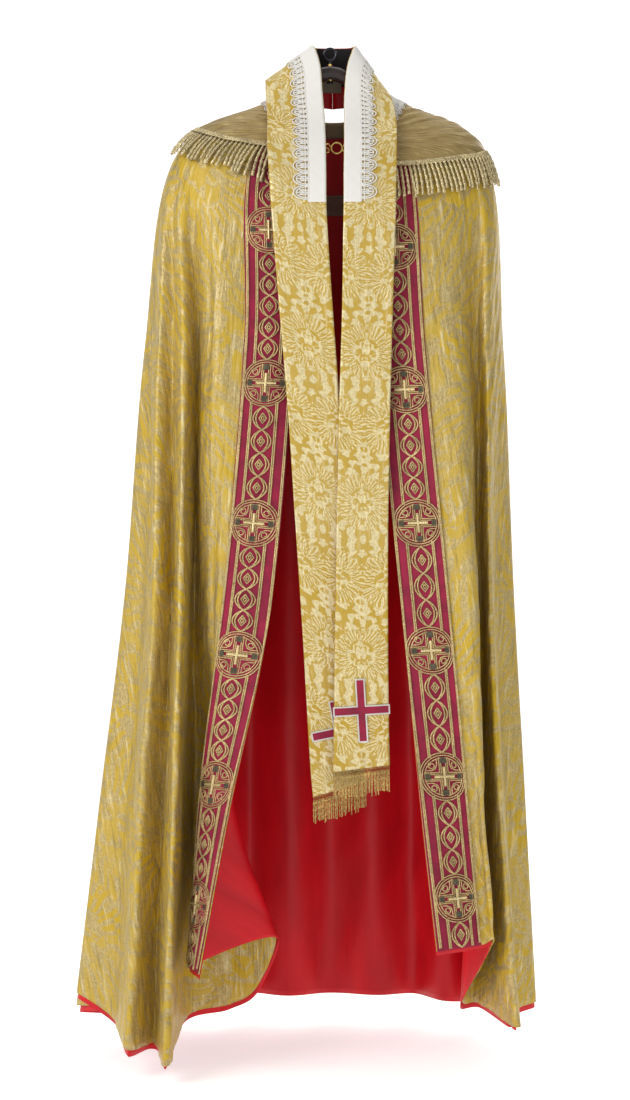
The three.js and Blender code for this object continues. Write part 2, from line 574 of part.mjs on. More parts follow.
// Each hanging band: height, centre x, y of the lining face and half width, and how much higher
// the neck-side edge is than the outer edge.
const BANDS = {
  left: [
    { z: -115, x: -50.5, y: -54.4, half: 42.5, tilt: 0 },
    { z: -150, x: -49.7, y: -82, half: 43, tilt: 0 },
    { z: -205, x: -47.7, y: -106, half: 41.8, tilt: 0 },
    { z: -270, x: -45, y: -115, half: 40, tilt: 0 },
    { z: -400, x: -35.5, y: -119, half: 38.8, tilt: 0 },
    { z: -560, x: -23, y: -120, half: 38, tilt: 0 },
    { z: -720, x: -12.5, y: -117, half: 38, tilt: 0 },
    { z: -880, x: -2, y: -114, half: 38, tilt: 2 },
    { z: -1040, x: 8, y: -112, half: 38.5, tilt: 16 },
    { z: -1098, x: 13, y: -112, half: 38.5, tilt: 22 },
  ],
  right: [
    { z: -117, x: 59, y: -54.4, half: 39, tilt: 0 },
    { z: -150, x: 58.9, y: -82, half: 38.9, tilt: 0 },
    { z: -205, x: 57.6, y: -106, half: 38.5, tilt: 0 },
    { z: -270, x: 56.7, y: -116, half: 38, tilt: 0 },
    { z: -400, x: 53.4, y: -123, half: 36.8, tilt: 0 },
    { z: -560, x: 49, y: -127, half: 37, tilt: 0 },
    { z: -720, x: 46, y: -129, half: 37.2, tilt: 0 },
    { z: -880, x: 44.7, y: -130, half: 38.5, tilt: -2 },
    { z: -1020, x: 44.5, y: -130, half: 40.1, tilt: -8 },
    { z: -1066, x: 44.8, y: -130, half: 41.2, tilt: -10 },
  ],
};
const stoleNeckLines = () =>
  STOLE_NECK.map(({ inner, outer }) => [new THREE.Vector3(...inner), new THREE.Vector3(...outer)]);

// A ribbon between pairs of edge points, from share to share of its width. Its lines run so that
// a height is measured towards the worn face, from the lining face.
function ribbon(lines, shares, height, thick) {
  const normals = lines.map(([inner, outer], i) => {
    const before = lines[Math.max(0, i - 1)];
    const after = lines[Math.min(lines.length - 1, i + 1)];
    const run = after[0].clone().add(after[1]).sub(before[0]).sub(before[1]);
    return run.cross(outer.clone().sub(inner)).normalize();
  });
  const raised = (h) =>
    lines.map(([inner, outer], i) =>
      gridLines(...shares, 2).map((t) => inner.clone().lerp(outer, t).addScaledVector(normals[i], h)),
    );
  return slab(raised(height), raised(height - thick));
}

// The cross-lines of a hanging band between two shares of its length, neck-side edge first.
function bandLines(side, from = 0, to = 1) {
  const sign = side === "left" ? 1 : -1;
  const rows = BANDS[side].map(({ z, x, y, half, tilt }) => [
    new THREE.Vector3(x + sign * half, y, z + tilt / 2),
    new THREE.Vector3(x - sign * half, y, z - tilt / 2),
  ]);
  const pick = (k, t) => along(rows.map((row) => row[k]), t * (rows.length - 1));
  const lines = gridLines(from, to, 14).map((t) => [pick(0, t), pick(1, t)]);
  return side === "left" ? lines.reverse() : lines;
}

function addStole() {
  const laceHeight = STOLE.thick + STOLE.laceLift;
  add("stole_neck", ribbon(stoleNeckLines(), [0, 1], STOLE.thick, STOLE.thick), BROCADE);
  add("stole_lace_neck", ribbon(stoleNeckLines(), [0, 0.5], laceHeight, STOLE.laceThick), LINEN);
  const label = new THREE.BoxGeometry(34, 0.8, 36).translate(0, 24.8, -42);
  add("stole_label", label, TAPE);
  for (const side of ["left", "right"]) {
    add(`stole_band_${side}`, ribbon(bandLines(side), [0, 1], STOLE.thick, STOLE.thick), BROCADE);
    add(`stole_lace_${side}`, ribbon(bandLines(side, 0, 0.3), [0, 0.5], laceHeight, STOLE.laceThick), LINEN);
    const hem = bandLines(side, 1, 1)[0];
    const strands = [1.2, 1.2 + STOLE.fringe].map((drop) => hem.map((p) => p.clone().setZ(p.z - drop)));
    const hanging = side === "left" ? strands.reverse() : strands;
    add(`stole_fringe_${side}`, ribbon(hanging, [0, 1], STOLE.thick, STOLE.thick), KHAKI);
    add(`stole_cross_${side}`, cross(BANDS[side].at(-1), side), VELVET);
  }
}

const CROSS = { arm: 39, stem: 44, half: 5, above: 84, thick: 1.2, lean: { left: 0.2, right: 0.06 } };
function cross({ x, y, z }, side) {
  const { arm, stem, half, above, thick } = CROSS;
  const quarter = [[half, -stem], [half, -half], [arm, -half], [arm, half], [half, half], [half, stem]];
  const corners = [...quarter, ...quarter.map(([a, b]) => [-a, -b])];
  const outline = new THREE.Shape(corners.map(([a, b]) => new THREE.Vector2(a, b)));
  const body = new THREE.ExtrudeGeometry(outline, { depth: thick, bevelEnabled: false });
  body.rotateZ(CROSS.lean[side]).rotateX(Math.PI / 2);
  return body.translate(x, y - STOLE.thick - 0.9, z + above);
}

addCope();
addOrphreys();
addHood();
addHoodFringes();
addNeckTrim();
addHanger();
addClasp();
addStole();

export default vestment;
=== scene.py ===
"""Looks of a lined brocade cope with its stole, hung on a wooden hanger.

The cope's cloth, linings, bands, hood, lace and fringes are laid on one draped surface, whose lines
repeat the model's own. The clasp, hanger and eye are the model's solids with finer materials.
"""
import logging
import math
from dataclasses import dataclass
from enum import Enum
from typing import Callable, Sequence

import bmesh
import bpy
import numpy as np
from mathutils import Matrix, Vector


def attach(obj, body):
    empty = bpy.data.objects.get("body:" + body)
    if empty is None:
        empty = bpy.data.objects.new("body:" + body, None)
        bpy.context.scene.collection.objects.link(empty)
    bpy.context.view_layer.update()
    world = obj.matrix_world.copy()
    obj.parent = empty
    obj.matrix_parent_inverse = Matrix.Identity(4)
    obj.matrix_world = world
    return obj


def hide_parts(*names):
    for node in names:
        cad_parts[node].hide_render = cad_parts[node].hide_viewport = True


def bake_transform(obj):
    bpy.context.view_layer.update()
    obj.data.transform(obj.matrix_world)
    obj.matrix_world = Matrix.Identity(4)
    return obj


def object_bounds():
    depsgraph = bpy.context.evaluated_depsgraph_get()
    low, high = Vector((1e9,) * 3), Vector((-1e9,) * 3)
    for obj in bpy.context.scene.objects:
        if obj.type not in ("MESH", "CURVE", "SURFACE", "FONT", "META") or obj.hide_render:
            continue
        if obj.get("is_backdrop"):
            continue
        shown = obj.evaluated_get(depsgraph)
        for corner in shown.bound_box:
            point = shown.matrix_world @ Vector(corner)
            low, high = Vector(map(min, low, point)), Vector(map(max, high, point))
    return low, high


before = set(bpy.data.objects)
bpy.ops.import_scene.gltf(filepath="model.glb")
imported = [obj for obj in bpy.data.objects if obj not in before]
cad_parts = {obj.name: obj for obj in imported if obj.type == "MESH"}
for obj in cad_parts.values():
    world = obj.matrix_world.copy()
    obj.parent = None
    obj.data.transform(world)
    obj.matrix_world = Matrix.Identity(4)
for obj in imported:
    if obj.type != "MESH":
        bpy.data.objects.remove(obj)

CAD_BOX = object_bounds()
MM = 0.001
LOG = logging.getLogger("cope")
Placer = Callable[[np.ndarray, np.ndarray, np.ndarray], np.ndarray]

# ---- Driving sizes, in millimetres like the model's own ----
NECK = {"x": 80, "y": 60, "centre_x": 6, "centre_y": 5, "side": -72, "back_drop": 26, "front_drop": 78}
SHOULDER = {"x": 232, "y": 78, "side": -162, "drop": 45, "squareness": 0.7}
FRONT_NECK_ANGLE = 40
CHEST_Z, MID_Z, LOW_Z = -450, -808, -1120
# Each line of the drape: name, shoulder angle, x, y at chest, middle and low rows, x, y, z at the hem.
COLUMNS = [
    ("left edge", 6.2, (-52, -95), (-86, -121), (-145, -168), (-188, -196, -1352)),
    ("left band", 23.5, (-126, -105), (-156, -120), (-189, -114), (-199, -122, -1345)),
    ("left curl", 34, (-163, -104), (-167, -103), (-147, -83), (-84, -72, -1314)),
    ("left turn", 38.5, (-174, -92), (-177, -96), (-154, -65), (-108, -46, -1396)),
    ("left return", 43, (-185, -78), (-186, -74), (-171, -49), (-150, -38, -1424)),
    ("left gully", 51, (-196, -50), (-203, -40), (-207, -38), (-212, -56, -1438)),
    ("left ridge", 59, (-214, -79), (-217, -120), (-224, -159), (-232, -204, -1480)),
    ("left dip", 66, (-231, -53), (-233, -69), (-244, -90), (-256, -112, -1466)),
    ("left roll", 73, (-252, -61), (-257, -96), (-275, -128), (-292, -160, -1466)),
    ("left tuck", 81, (-262, -31), (-273, -39), (-297, -48), (-320, -58, -1440)),
    ("left side", 90, (-278, -5), (-307, -4), (-344, -12), (-378, -20, -1410)),
    ("left rear dip", 98, (-267, 28), (-286, 42), (-316, 46), (-352, 46, -1440)),
    ("left rear roll", 107, (-264, 62), (-300, 95), (-339, 101), (-384, 98, -1452)),
    ("left rear gully", 117, (-233, 79), (-250, 110), (-266, 124), (-284, 136, -1462)),
    ("left back ridge", 128, (-208, 106), (-226, 162), (-241, 196), (-254, 226, -1470)),
    ("left back dip", 140, (-162, 99), (-173, 143), (-182, 169), (-190, 192, -1452)),
    ("back ridge 1", 154, (-115, 112), (-122, 180), (-127, 223), (-130, 258, -1452)),
    ("back dip 1", 167, (-60, 108), (-61, 160), (-62, 196), (-64, 226, -1450)),
    ("back centre", 180, (0, 115), (2, 183), (3, 227), (4, 262, -1452)),
    ("back dip 2", 193, (61, 109), (64, 161), (67, 199), (70, 230, -1450)),
    ("back ridge 2", 206, (116, 112), (124, 179), (131, 221), (138, 256, -1452)),
    ("right back dip", 220, (162, 98), (169, 141), (177, 165), (184, 188, -1452)),
    ("right back ridge", 232, (199, 101), (219, 158), (230, 190), (242, 218, -1458)),
    ("right rear gully", 243, (223, 76), (229, 102), (238, 116), (246, 128, -1450)),
    ("right rear roll", 253, (245, 61), (263, 92), (279, 109), (294, 124, -1450)),
    ("right rear dip", 262, (247, 27), (252, 39), (262, 47), (272, 54, -1432)),
    ("right side", 270, (260, -6), (275, -9), (292, -11), (308, -12, -1424)),
    ("right tuck", 281, (245, -39), (246, -43), (258, -45), (274, -52, -1430)),
    ("right ridge", 295, (231, -71), (233, -104), (246, -125), (268, -140, -1438)),
    ("right hollow", 302, (219, -56), (226, -58), (228, -52), (222, -38, -1422)),
    ("right gully", 309, (208, -62), (212, -60), (209, -52), (196, -46, -1416)),
    ("right return", 322, (187, -101), (208, -136), (219, -149), (232, -148, -1316)),
    ("right band", 336.5, (138, -108), (170, -137), (198, -149), (216, -150, -1318)),
    ("right edge", 353.8, (65, -96), (101, -130), (129, -175), (151, -190, -1321)),
]
LAST = len(COLUMNS) - 1
# The drape's cross rows run from the neck, 0, through the shoulder, 1, to the hem.
HEM = 5.0


def at(name: str) -> int:
    """Give the index of a drape line by its name."""
    return next(i for i, column in enumerate(COLUMNS) if column[0] == name)


LEFT_SIDE = at("left side")
RIGHT_SIDE = at("right side")


class Side(Enum):
    """The viewer's left or right front."""

    LEFT = "left"
    RIGHT = "right"


def weights(t: np.ndarray) -> np.ndarray:
    """Give the four Catmull-Rom weights at each share t between two points."""
    return np.stack([
        -0.5 * t**3 + t**2 - 0.5 * t,
        1.5 * t**3 - 2.5 * t**2 + 1,
        -1.5 * t**3 + 2 * t**2 + 0.5 * t,
        0.5 * t**3 - 0.5 * t**2,
    ])


def padded_ends(points: np.ndarray) -> np.ndarray:
    """Add one extrapolated entry before and after a list of points."""
    return np.concatenate([2 * points[:1] - points[1:2], points, 2 * points[-1:] - points[-2:-1]])


def along(points: np.ndarray, position: np.ndarray) -> np.ndarray:
    """Interpolate a list of points at fractional positions.

    Args:
        points: the points, shape (n, 3).
        position: where to read, from 0 to n - 1.

    Returns:
        One point for each position.
    """
    position = np.asarray(position, float)
    start = np.clip(np.floor(position).astype(int), 0, len(points) - 2)
    share = weights(position - start)
    ends = padded_ends(points)
    return sum(share[k][..., None] * ends[start + k] for k in range(4))


class Drape:
    """The surface in which the cope hangs, from the neckline to the hem."""

    def __init__(self) -> None:
        """Lay out the net of known points, in metres."""
        net = np.array([self._line(i) for i in range(len(COLUMNS))], float) * MM
        by_row = padded_ends(net.transpose(1, 0, 2)).transpose(1, 0, 2)
        self.net = padded_ends(by_row)

    @staticmethod
    def _line(index: int) -> list[tuple[float, float, float]]:
        """Give the six known points of one line of the drape.

        Args:
            index: the line's place in COLUMNS.

        Returns:
            The points from neck to hem, in metres.
        """
        _, angle, chest, mid, low, hem = COLUMNS[index]
        turn = math.radians(180 + (angle - 180) * (180 - FRONT_NECK_ANGLE) / (180 - COLUMNS[0][1]))
        front, back = max(0.0, math.cos(turn)), max(0.0, -math.cos(turn))
        neck = (
            NECK["centre_x"] - NECK["x"] * math.sin(turn),
            NECK["centre_y"] - NECK["y"] * math.cos(turn),
            NECK["side"] - NECK["front_drop"] * front**1.5 - NECK["back_drop"] * back**2,
        )
        turn = math.radians(angle)
        power = SHOULDER["squareness"]
        shoulder = (
            -SHOULDER["x"] * math.copysign(abs(math.sin(turn)) ** power, math.sin(turn)),
            -SHOULDER["y"] * math.copysign(abs(math.cos(turn)) ** power, math.cos(turn)),
            SHOULDER["side"] - SHOULDER["drop"] * abs(math.cos(turn)) ** 1.2,
        )
        return [neck, shoulder, (*chest, CHEST_Z), (*mid, Drape._mid_height(index)), (*low, LOW_Z), hem]

    @staticmethod
    def _mid_height(index: int) -> float:
        """Give the height of the middle row, which lies square to a front's swing line."""
        if LEFT_SIDE < index < RIGHT_SIDE:
            return MID_Z
        top, down = swing_line(Side.LEFT if index <= LEFT_SIDE else Side.RIGHT)
        x, y = COLUMNS[index][3]
        top = top / MM
        return top.z - (down.x * (x - top.x) + down.y * (y - top.y)) / down.z

    def point(self, column: np.ndarray, row: np.ndarray) -> np.ndarray:
        """Give the cloth's points at columns and rows, in metres.

        Args:
            column, row: places across and down the drape.

        Returns:
            The points, with x, y and z last.
        """
        column, row = np.broadcast_arrays(np.asarray(column, float), np.asarray(row, float))
        i = np.clip(np.floor(column).astype(int), 0, LAST - 1)
        j = np.clip(np.floor(row).astype(int), 0, 4)
        across, down = weights(column - i), weights(row - j)
        total = np.zeros(column.shape + (3,))
        for a in range(4):
            for b in range(4):
                total += (across[a] * down[b])[..., None] * self.net[i + a, j + b]
        return total

    def normal(self, column: np.ndarray, row: np.ndarray) -> np.ndarray:
        """Give the outward normals at columns and rows."""
        step = 0.06
        across = self.point(column + step, row) - self.point(column - step, row)
        down = self.point(column, row + step) - self.point(column, row - step)
        cross = np.cross(across, down)
        return cross / np.linalg.norm(cross, axis=-1, keepdims=True)

    def place(self, column: np.ndarray, row: np.ndarray, height: np.ndarray) -> np.ndarray:
        """Give points at a height above the cloth, in metres."""
        return self.point(column, row) + self.normal(column, row) * np.asarray(height)[..., None]

    def reach_down(self, column: np.ndarray, row: np.ndarray) -> np.ndarray:
        """Give the metres of cloth in one row there."""
        return np.linalg.norm(self.point(column, row + 0.05) - self.point(column, row - 0.05), axis=-1) / 0.1


def swing_line(side: Side) -> tuple[Vector, Vector]:
    """Give the top, in metres, and the downward direction of the line on which a front swings."""
    _, _, _, mid, _, hem = COLUMNS[LEFT_SIDE if side is Side.LEFT else RIGHT_SIDE]
    top = Vector((*mid, MID_Z)) * MM
    return top, (Vector(hem) * MM - top).normalized()


def ripples(u: np.ndarray, v: np.ndarray, wave: tuple[float, float], seed: int) -> np.ndarray:
    """Give a smooth uneven height, within about -1 to 1, over a cloth.

    Args:
        u, v: places on the cloth, in metres.
        wave: rough distance between waves across and down, in metres.
        seed: picks the pattern.

    Returns:
        The height at each place.
    """
    random = np.random.default_rng(seed)
    total = np.zeros(np.shape(u))
    for _ in range(7):
        a, b = random.uniform(0.6, 1.5, 2) * random.choice([-1, 1], 2)
        phase = random.uniform(0, 2 * np.pi)
        total = total + np.sin(2 * np.pi * (a * u / wave[0] + b * v / wave[1]) + phase)
    return np.tanh(total / 2.6)


# ---- Finishes ----
def linear(code: str) -> tuple[float, float, float, float]:
    """Turn an sRGB hex colour into linear red, green, blue and alpha."""
    parts = [int(code[i:i + 2], 16) / 255 for i in (1, 3, 5)]
    return (*[p / 12.92 if p <= 0.04045 else ((p + 0.055) / 1.055) ** 2.4 for p in parts], 1.0)


def put(tree: bpy.types.NodeTree, kind: str, links: dict | None = None, out: int | str = 0,
        **settings: object) -> bpy.types.NodeSocket:
    """Add a node with its settings and links.

    Args:
        tree: the material's node tree.
        kind: the node's type, without its leading ShaderNode.
        links: what goes into each input, by its name or number: a socket or a value.
        out: which output to give back.
        settings: properties of the node itself.

    Returns:
        The chosen output socket.
    """
    made = tree.nodes.new("ShaderNode" + kind)
    for name, value in settings.items():
        setattr(made, name, value)
    for name, value in (links or {}).items():
        socket = made.inputs[name]
        if isinstance(value, bpy.types.NodeSocket):
            tree.links.new(value, socket)
        else:
            socket.default_value = value
    return made.outputs[out] if made.outputs else made


@dataclass(frozen=True)
class Finish:
    """A finish made from a shader, with a pattern in its colour, gloss and relief."""

    name: str
    base: str
    roughness: float = 0.6
    metallic: float = 0.0

    def material(self) -> bpy.types.Material:
        """Give the material, made once.

        Returns:
            The material.
        """
        found = bpy.data.materials.get(self.name)
        if found:
            return found
        made = bpy.data.materials.new(self.name)
        made.use_nodes = True
        tree = made.node_tree
        tree.nodes.clear()
        surface = self.shader(tree)
        put(tree, "OutputMaterial", {"Surface": surface})
        return made

    def shader(self, tree: bpy.types.NodeTree) -> bpy.types.NodeSocket:
        """Build the shader's nodes."""
        raise NotImplementedError


@dataclass(frozen=True)
class Brocade(Finish):
    """Silk figures on a gold lame ground: matt mustard shapes on crinkled metal, with pale painted glints and
    painted shading on the crinkles.
    """

    figure: str = "#C0901C"
    # glint is a painted highlight colour and shade a painted shading colour, both for the crinkles; shade is
    # also the pebbled ground's darker tone.
    glint: str = "#F3E8BE"
    shade: str = "#6E5A22"
    repeat: tuple[float, float] = (0.19, 0.34)
    # crinkle scales the crinkles' relief and also their painted highlight and shading.
    crinkle: float = 0.5
    worn: float = 0.5
    leaf_scale: float = 30.0
    rays: float = 30.0

    def shader(self, tree: bpy.types.NodeTree) -> bpy.types.NodeSocket:
        """Build damask figures mirrored about each repeat, then crinkles with painted glints and painted
        shading, and thread ribs.

        Args:
            tree: the material's node tree.

        Returns:
            The shader socket that goes to the output.
        """
        uv = put(tree, "TexCoord", out="UV")
        wander = put(tree, "TexNoise", {"Vector": uv, "Scale": 26.0, "Detail": 2.0}, out="Color")
        offset = put(tree, "VectorMath", {0: wander, 1: (0.5, 0.5, 0.5)}, operation="SUBTRACT")
        cloth = put(tree, "VectorMath", {0: offset, 1: (0.016,) * 3, 2: uv}, operation="MULTIPLY_ADD")
        u = put(tree, "SeparateXYZ", {0: cloth}, out="X")
        v = put(tree, "SeparateXYZ", {0: cloth}, out="Y")
        width, drop = self.repeat
        x = put(tree, "Math", {0: u, 1: width / 2}, operation="PINGPONG")
        y = put(tree, "Math", {0: v, 1: drop}, operation="FLOORED_MODULO")
        from_middle = put(tree, "Math", {0: y, 1: drop / 2}, operation="SUBTRACT")
        first = self._motif(tree, self.rays, x, from_middle, width)
        far = put(tree, "Math", {0: width / 2, 1: x}, operation="SUBTRACT")
        from_joins = put(tree, "Math", {0: y, 1: drop / 2}, operation="PINGPONG")
        second = self._motif(tree, self.rays, far, from_joins, width)
        mirrored = put(tree, "CombineXYZ", {"X": x, "Y": y})
        leaves = put(tree, "TexNoise", {"Vector": mirrored, "Scale": self.leaf_scale, "Detail": 1.5,
                                        "Roughness": 0.4})
        leaf = put(tree, "MapRange", {"Value": leaves, "From Min": 0.50, "From Max": 0.53})
        both = put(tree, "Math", {0: first, 1: second}, operation="MAXIMUM")
        mask = put(tree, "Math", {0: both, 1: leaf}, operation="SUBTRACT")
        mask = put(tree, "Math", {0: mask}, operation="ABSOLUTE")
        # The ground's pebbled weave, drawn at about 3 mm so that it shows.
        pebble = put(tree, "TexVoronoi", {"Vector": uv, "Scale": 330.0})
        grain = put(tree, "MapRange", {"Value": pebble, "From Max": 0.8, "To Min": 0.55, "To Max": 1.0})
        long = put(tree, "Mapping", {"Vector": uv, "Scale": (150.0, 17.0, 1.0)})
        crease = put(tree, "TexNoise", {"Vector": long, "Scale": 1.0, "Detail": 4.0, "Roughness": 0.62})
        tone = put(tree, "TexNoise", {"Vector": uv, "Scale": 7.0, "Detail": 3.0})
        figures = put(tree, "MapRange", {"Value": tone, "From Min": 0.30, "From Max": 0.62})
        worn = put(tree, "Math", {0: figures, 1: self.worn, 2: 1 - self.worn}, operation="MULTIPLY_ADD")
        strength = put(tree, "Math", {0: mask, 1: worn}, operation="MULTIPLY")
        # The pebble mixes towards the shade colour as the ground's own speckled tone.
        ground = put(tree, "Mix", {0: grain, 6: linear(self.shade), 7: linear(self.base)},
                     out=2, data_type="RGBA")
        woven = put(tree, "Mix", {0: strength, 6: ground, 7: linear(self.figure)}, out=2, data_type="RGBA")
        # Painted highlight: where the crinkle noise is high, the colour is mixed towards the glint colour.
        bright = put(tree, "MapRange", {"Value": crease, "From Min": 0.56, "From Max": 0.74,
                                        "To Max": 0.85 * self.crinkle})
        pale = put(tree, "Mix", {0: bright, 6: woven, 7: linear(self.glint)}, out=2, data_type="RGBA")
        # Painted shading: where the crinkle noise is low, the colour is mixed towards the shade colour.
        deep = put(tree, "MapRange", {"Value": crease, "From Min": 0.44, "From Max": 0.26,
                                      "To Max": 0.7 * self.crinkle})
        colour = put(tree, "Mix", {0: deep, 6: pale, 7: linear(self.shade)}, out=2, data_type="RGBA")
        metal = put(tree, "MapRange", {"Value": strength, "To Min": self.metallic, "To Max": 0.12})
        rough = put(tree, "MapRange", {"Value": strength, "To Min": self.roughness, "To Max": 0.55})
        ribs = put(tree, "TexWave", {"Vector": uv, "Scale": 190.0, "Distortion": 1.5},
                   out="Fac", bands_direction="Y")
        relief = put(tree, "Bump", {"Height": ribs, "Strength": 0.25, "Distance": 0.0003})
        relief = put(tree, "Bump", {"Height": mask, "Strength": 0.4, "Distance": 0.0006, "Normal": relief})
        relief = put(tree, "Bump", {"Height": crease, "Strength": 0.9 * self.crinkle,
                                    "Distance": 0.004, "Normal": relief})
        return put(tree, "BsdfPrincipled", {"Base Color": colour, "Metallic": metal,
                                            "Roughness": rough, "Normal": relief})

    @staticmethod
    def _motif(tree: bpy.types.NodeTree, rays: float, x: bpy.types.NodeSocket, y: bpy.types.NodeSocket,
               width: float) -> bpy.types.NodeSocket:
        """Draw a flower with a fan of rays round it, about x = y = 0, as a mask.

        Args:
            tree: the material's node tree.
            rays: how many rays the fan has.
            x, y: sockets with the place in the repeat, in metres.
            width: the repeat's width, in metres.

        Returns:
            The mask socket.
        """
        flat = put(tree, "CombineXYZ", {"X": x, "Y": y})
        radius = put(tree, "VectorMath", {0: flat}, out="Value", operation="LENGTH")
        angle = put(tree, "Math", {0: y, 1: x}, operation="ARCTAN2")
        lobes = put(tree, "Math", {0: angle, 1: 6.0}, operation="MULTIPLY")
        lobes = put(tree, "Math", {0: lobes}, operation="COSINE")
        edge = put(tree, "Math", {0: lobes, 1: 0.05 * width, 2: 0.16 * width}, operation="MULTIPLY_ADD")
        inside = put(tree, "Math", {0: edge, 1: radius}, operation="SUBTRACT")
        flower = put(tree, "MapRange", {"Value": inside, "From Max": 0.0015})
        fan = put(tree, "Math", {0: angle, 1: rays}, operation="MULTIPLY")
        fan = put(tree, "Math", {0: fan}, operation="SINE")
        stripe = put(tree, "MapRange", {"Value": fan, "From Min": -0.15, "From Max": 0.25})
        near = put(tree, "MapRange", {"Value": radius, "From Min": 0.26 * width, "From Max": 0.275 * width})
        away = put(tree, "MapRange", {"Value": radius, "From Min": 0.55 * width, "From Max": 0.5 * width})
        ring = put(tree, "Math", {0: near, 1: away}, operation="MULTIPLY")
        rays = put(tree, "Math", {0: ring, 1: stripe}, operation="MULTIPLY")
        return put(tree, "Math", {0: flower, 1: rays}, operation="MAXIMUM")


@dataclass(frozen=True)
class Lame(Finish):
    """Plain tarnished lame: brown gold with fine standing crinkles, painted brassy glints on their crests and
    painted shading in their hollows.
    """

    # glint is a painted highlight colour and shade a painted shading colour for the crinkles.
    glint: str = "#D6C48E"
    shade: str = "#4A3C1C"

    def shader(self, tree: bpy.types.NodeTree) -> bpy.types.NodeSocket:
        """Build long crinkles, with painted glints on their crests and painted shading in their hollows.

        Args:
            tree: the material's node tree.

        Returns:
            The shader socket that goes to the output.
        """
        uv = put(tree, "TexCoord", out="UV")
        long = put(tree, "Mapping", {"Vector": uv, "Scale": (210.0, 34.0, 1.0)})
        crease = put(tree, "TexNoise", {"Vector": long, "Scale": 1.0, "Detail": 5.0, "Roughness": 0.65})
        # Painted highlight where the crinkle noise is high, painted shading where it is low.
        bright = put(tree, "MapRange", {"Value": crease, "From Min": 0.54, "From Max": 0.72})
        deep = put(tree, "MapRange", {"Value": crease, "From Min": 0.46, "From Max": 0.28})
        pale = put(tree, "Mix", {0: bright, 6: linear(self.base), 7: linear(self.glint)},
                   out=2, data_type="RGBA")
        colour = put(tree, "Mix", {0: deep, 6: pale, 7: linear(self.shade)}, out=2, data_type="RGBA")
        relief = put(tree, "Bump", {"Height": crease, "Strength": 0.6, "Distance": 0.003})
        return put(tree, "BsdfPrincipled", {"Base Color": colour, "Metallic": self.metallic,
                                            "Roughness": self.roughness, "Normal": relief})


@dataclass(frozen=True)
class Satin(Finish):
    """Acetate satin: smooth, with a broad soft gloss and faint creases from storage."""

    def shader(self, tree: bpy.types.NodeTree) -> bpy.types.NodeSocket:
        """Build faint slanting creases, in relief and as painted light and shading in the colour, and a
        sateen thread line.

        Args:
            tree: the material's node tree.

        Returns:
            The shader socket that goes to the output.
        """
        uv = put(tree, "TexCoord", out="UV")
        slant = put(tree, "Mapping", {"Vector": uv, "Rotation": (0, 0, 0.6), "Scale": (26.0, 7.0, 1.0)})
        crease = put(tree, "TexNoise", {"Vector": slant, "Scale": 1.0, "Detail": 2.5})
        thread = put(tree, "TexNoise", {"Vector": uv, "Scale": 900.0})
        # Painted light and shading: the colour is lightened and darkened along the slanting creases.
        tone = put(tree, "MapRange", {"Value": crease, "From Min": 0.3, "From Max": 0.7,
                                      "To Min": 0.86, "To Max": 1.12})
        colour = put(tree, "HueSaturation", {"Value": tone, "Color": linear(self.base)})
        relief = put(tree, "Bump", {"Height": thread, "Strength": 0.12, "Distance": 0.0002})
        relief = put(tree, "Bump", {"Height": crease, "Strength": 0.5, "Distance": 0.004, "Normal": relief})
        return put(tree, "BsdfPrincipled", {"Base Color": colour, "Roughness": self.roughness,
                                            "Specular IOR Level": 0.3, "Normal": relief})


@dataclass(frozen=True)
class Pile(Finish):
    """Cotton velvet: a deep colour that pales at grazing angles, with brushed patches."""

    tip: str = "#C24A66"

    def shader(self, tree: bpy.types.NodeTree) -> bpy.types.NodeSocket:
        """Build brushed patches and a fine pile, with sheen on top.

        Args:
            tree: the material's node tree.

        Returns:
            The shader socket that goes to the output.
        """
        place = put(tree, "TexCoord", out="Object")
        brushed = put(tree, "TexNoise", {"Vector": place, "Scale": 45.0, "Detail": 4.0})
        pile = put(tree, "TexNoise", {"Vector": place, "Scale": 1200.0, "Detail": 1.0})
        tone = put(tree, "MapRange", {"Value": brushed, "From Min": 0.3, "From Max": 0.7,
                                      "To Min": 0.72, "To Max": 1.22})
        colour = put(tree, "HueSaturation", {"Value": tone, "Color": linear(self.base)})
        relief = put(tree, "Bump", {"Height": pile, "Strength": 0.5, "Distance": 0.0005})
        return put(tree, "BsdfPrincipled", {"Base Color": colour, "Roughness": self.roughness,
                                            "Sheen Weight": 0.2, "Sheen Roughness": 0.4,
                                            "Sheen Tint": linear(self.tip), "Normal": relief})


@dataclass(frozen=True)
class Thread(Finish):
    """Twisted thread, metallic or plain: a fine slanting twist that breaks up its gloss, with painted
    highlight and painted shading along it.
    """

    # The second colour is painted shading in the twist's grooves.
    painted_groove_shade: str = "#5C4826"
    twist_mm: float = 1.2

    def shader(self, tree: bpy.types.NodeTree) -> bpy.types.NodeSocket:
        """Build the twist as short steps of painted highlight and painted shading, coarse enough to show.

        Args:
            tree: the material's node tree.

        Returns:
            The shader socket that goes to the output.
        """
        place = put(tree, "TexCoord", out="Object")
        twist = put(tree, "TexNoise", {"Vector": place, "Scale": 1 / (self.twist_mm * MM), "Detail": 2.0})
        dull = put(tree, "TexNoise", {"Vector": place, "Scale": 40.0, "Detail": 2.0})
        # Painted light: high twist noise keeps the base colour as a highlight, low twist noise takes the
        # painted shading colour.
        step = put(tree, "MapRange", {"Value": twist, "From Min": 0.34, "From Max": 0.6})
        wear = put(tree, "MapRange", {"Value": dull, "From Min": 0.35, "From Max": 0.65,
                                      "To Min": 0.78, "To Max": 1.1})
        colour = put(tree, "Mix", {0: step, 6: linear(self.painted_groove_shade), 7: linear(self.base)},
                     out=2, data_type="RGBA")
        colour = put(tree, "HueSaturation", {"Value": wear, "Color": colour})
        relief = put(tree, "Bump", {"Height": twist, "Strength": 0.5, "Distance": 0.0005})
        return put(tree, "BsdfPrincipled", {"Base Color": colour, "Metallic": self.metallic,
                                            "Roughness": self.roughness, "Normal": relief})


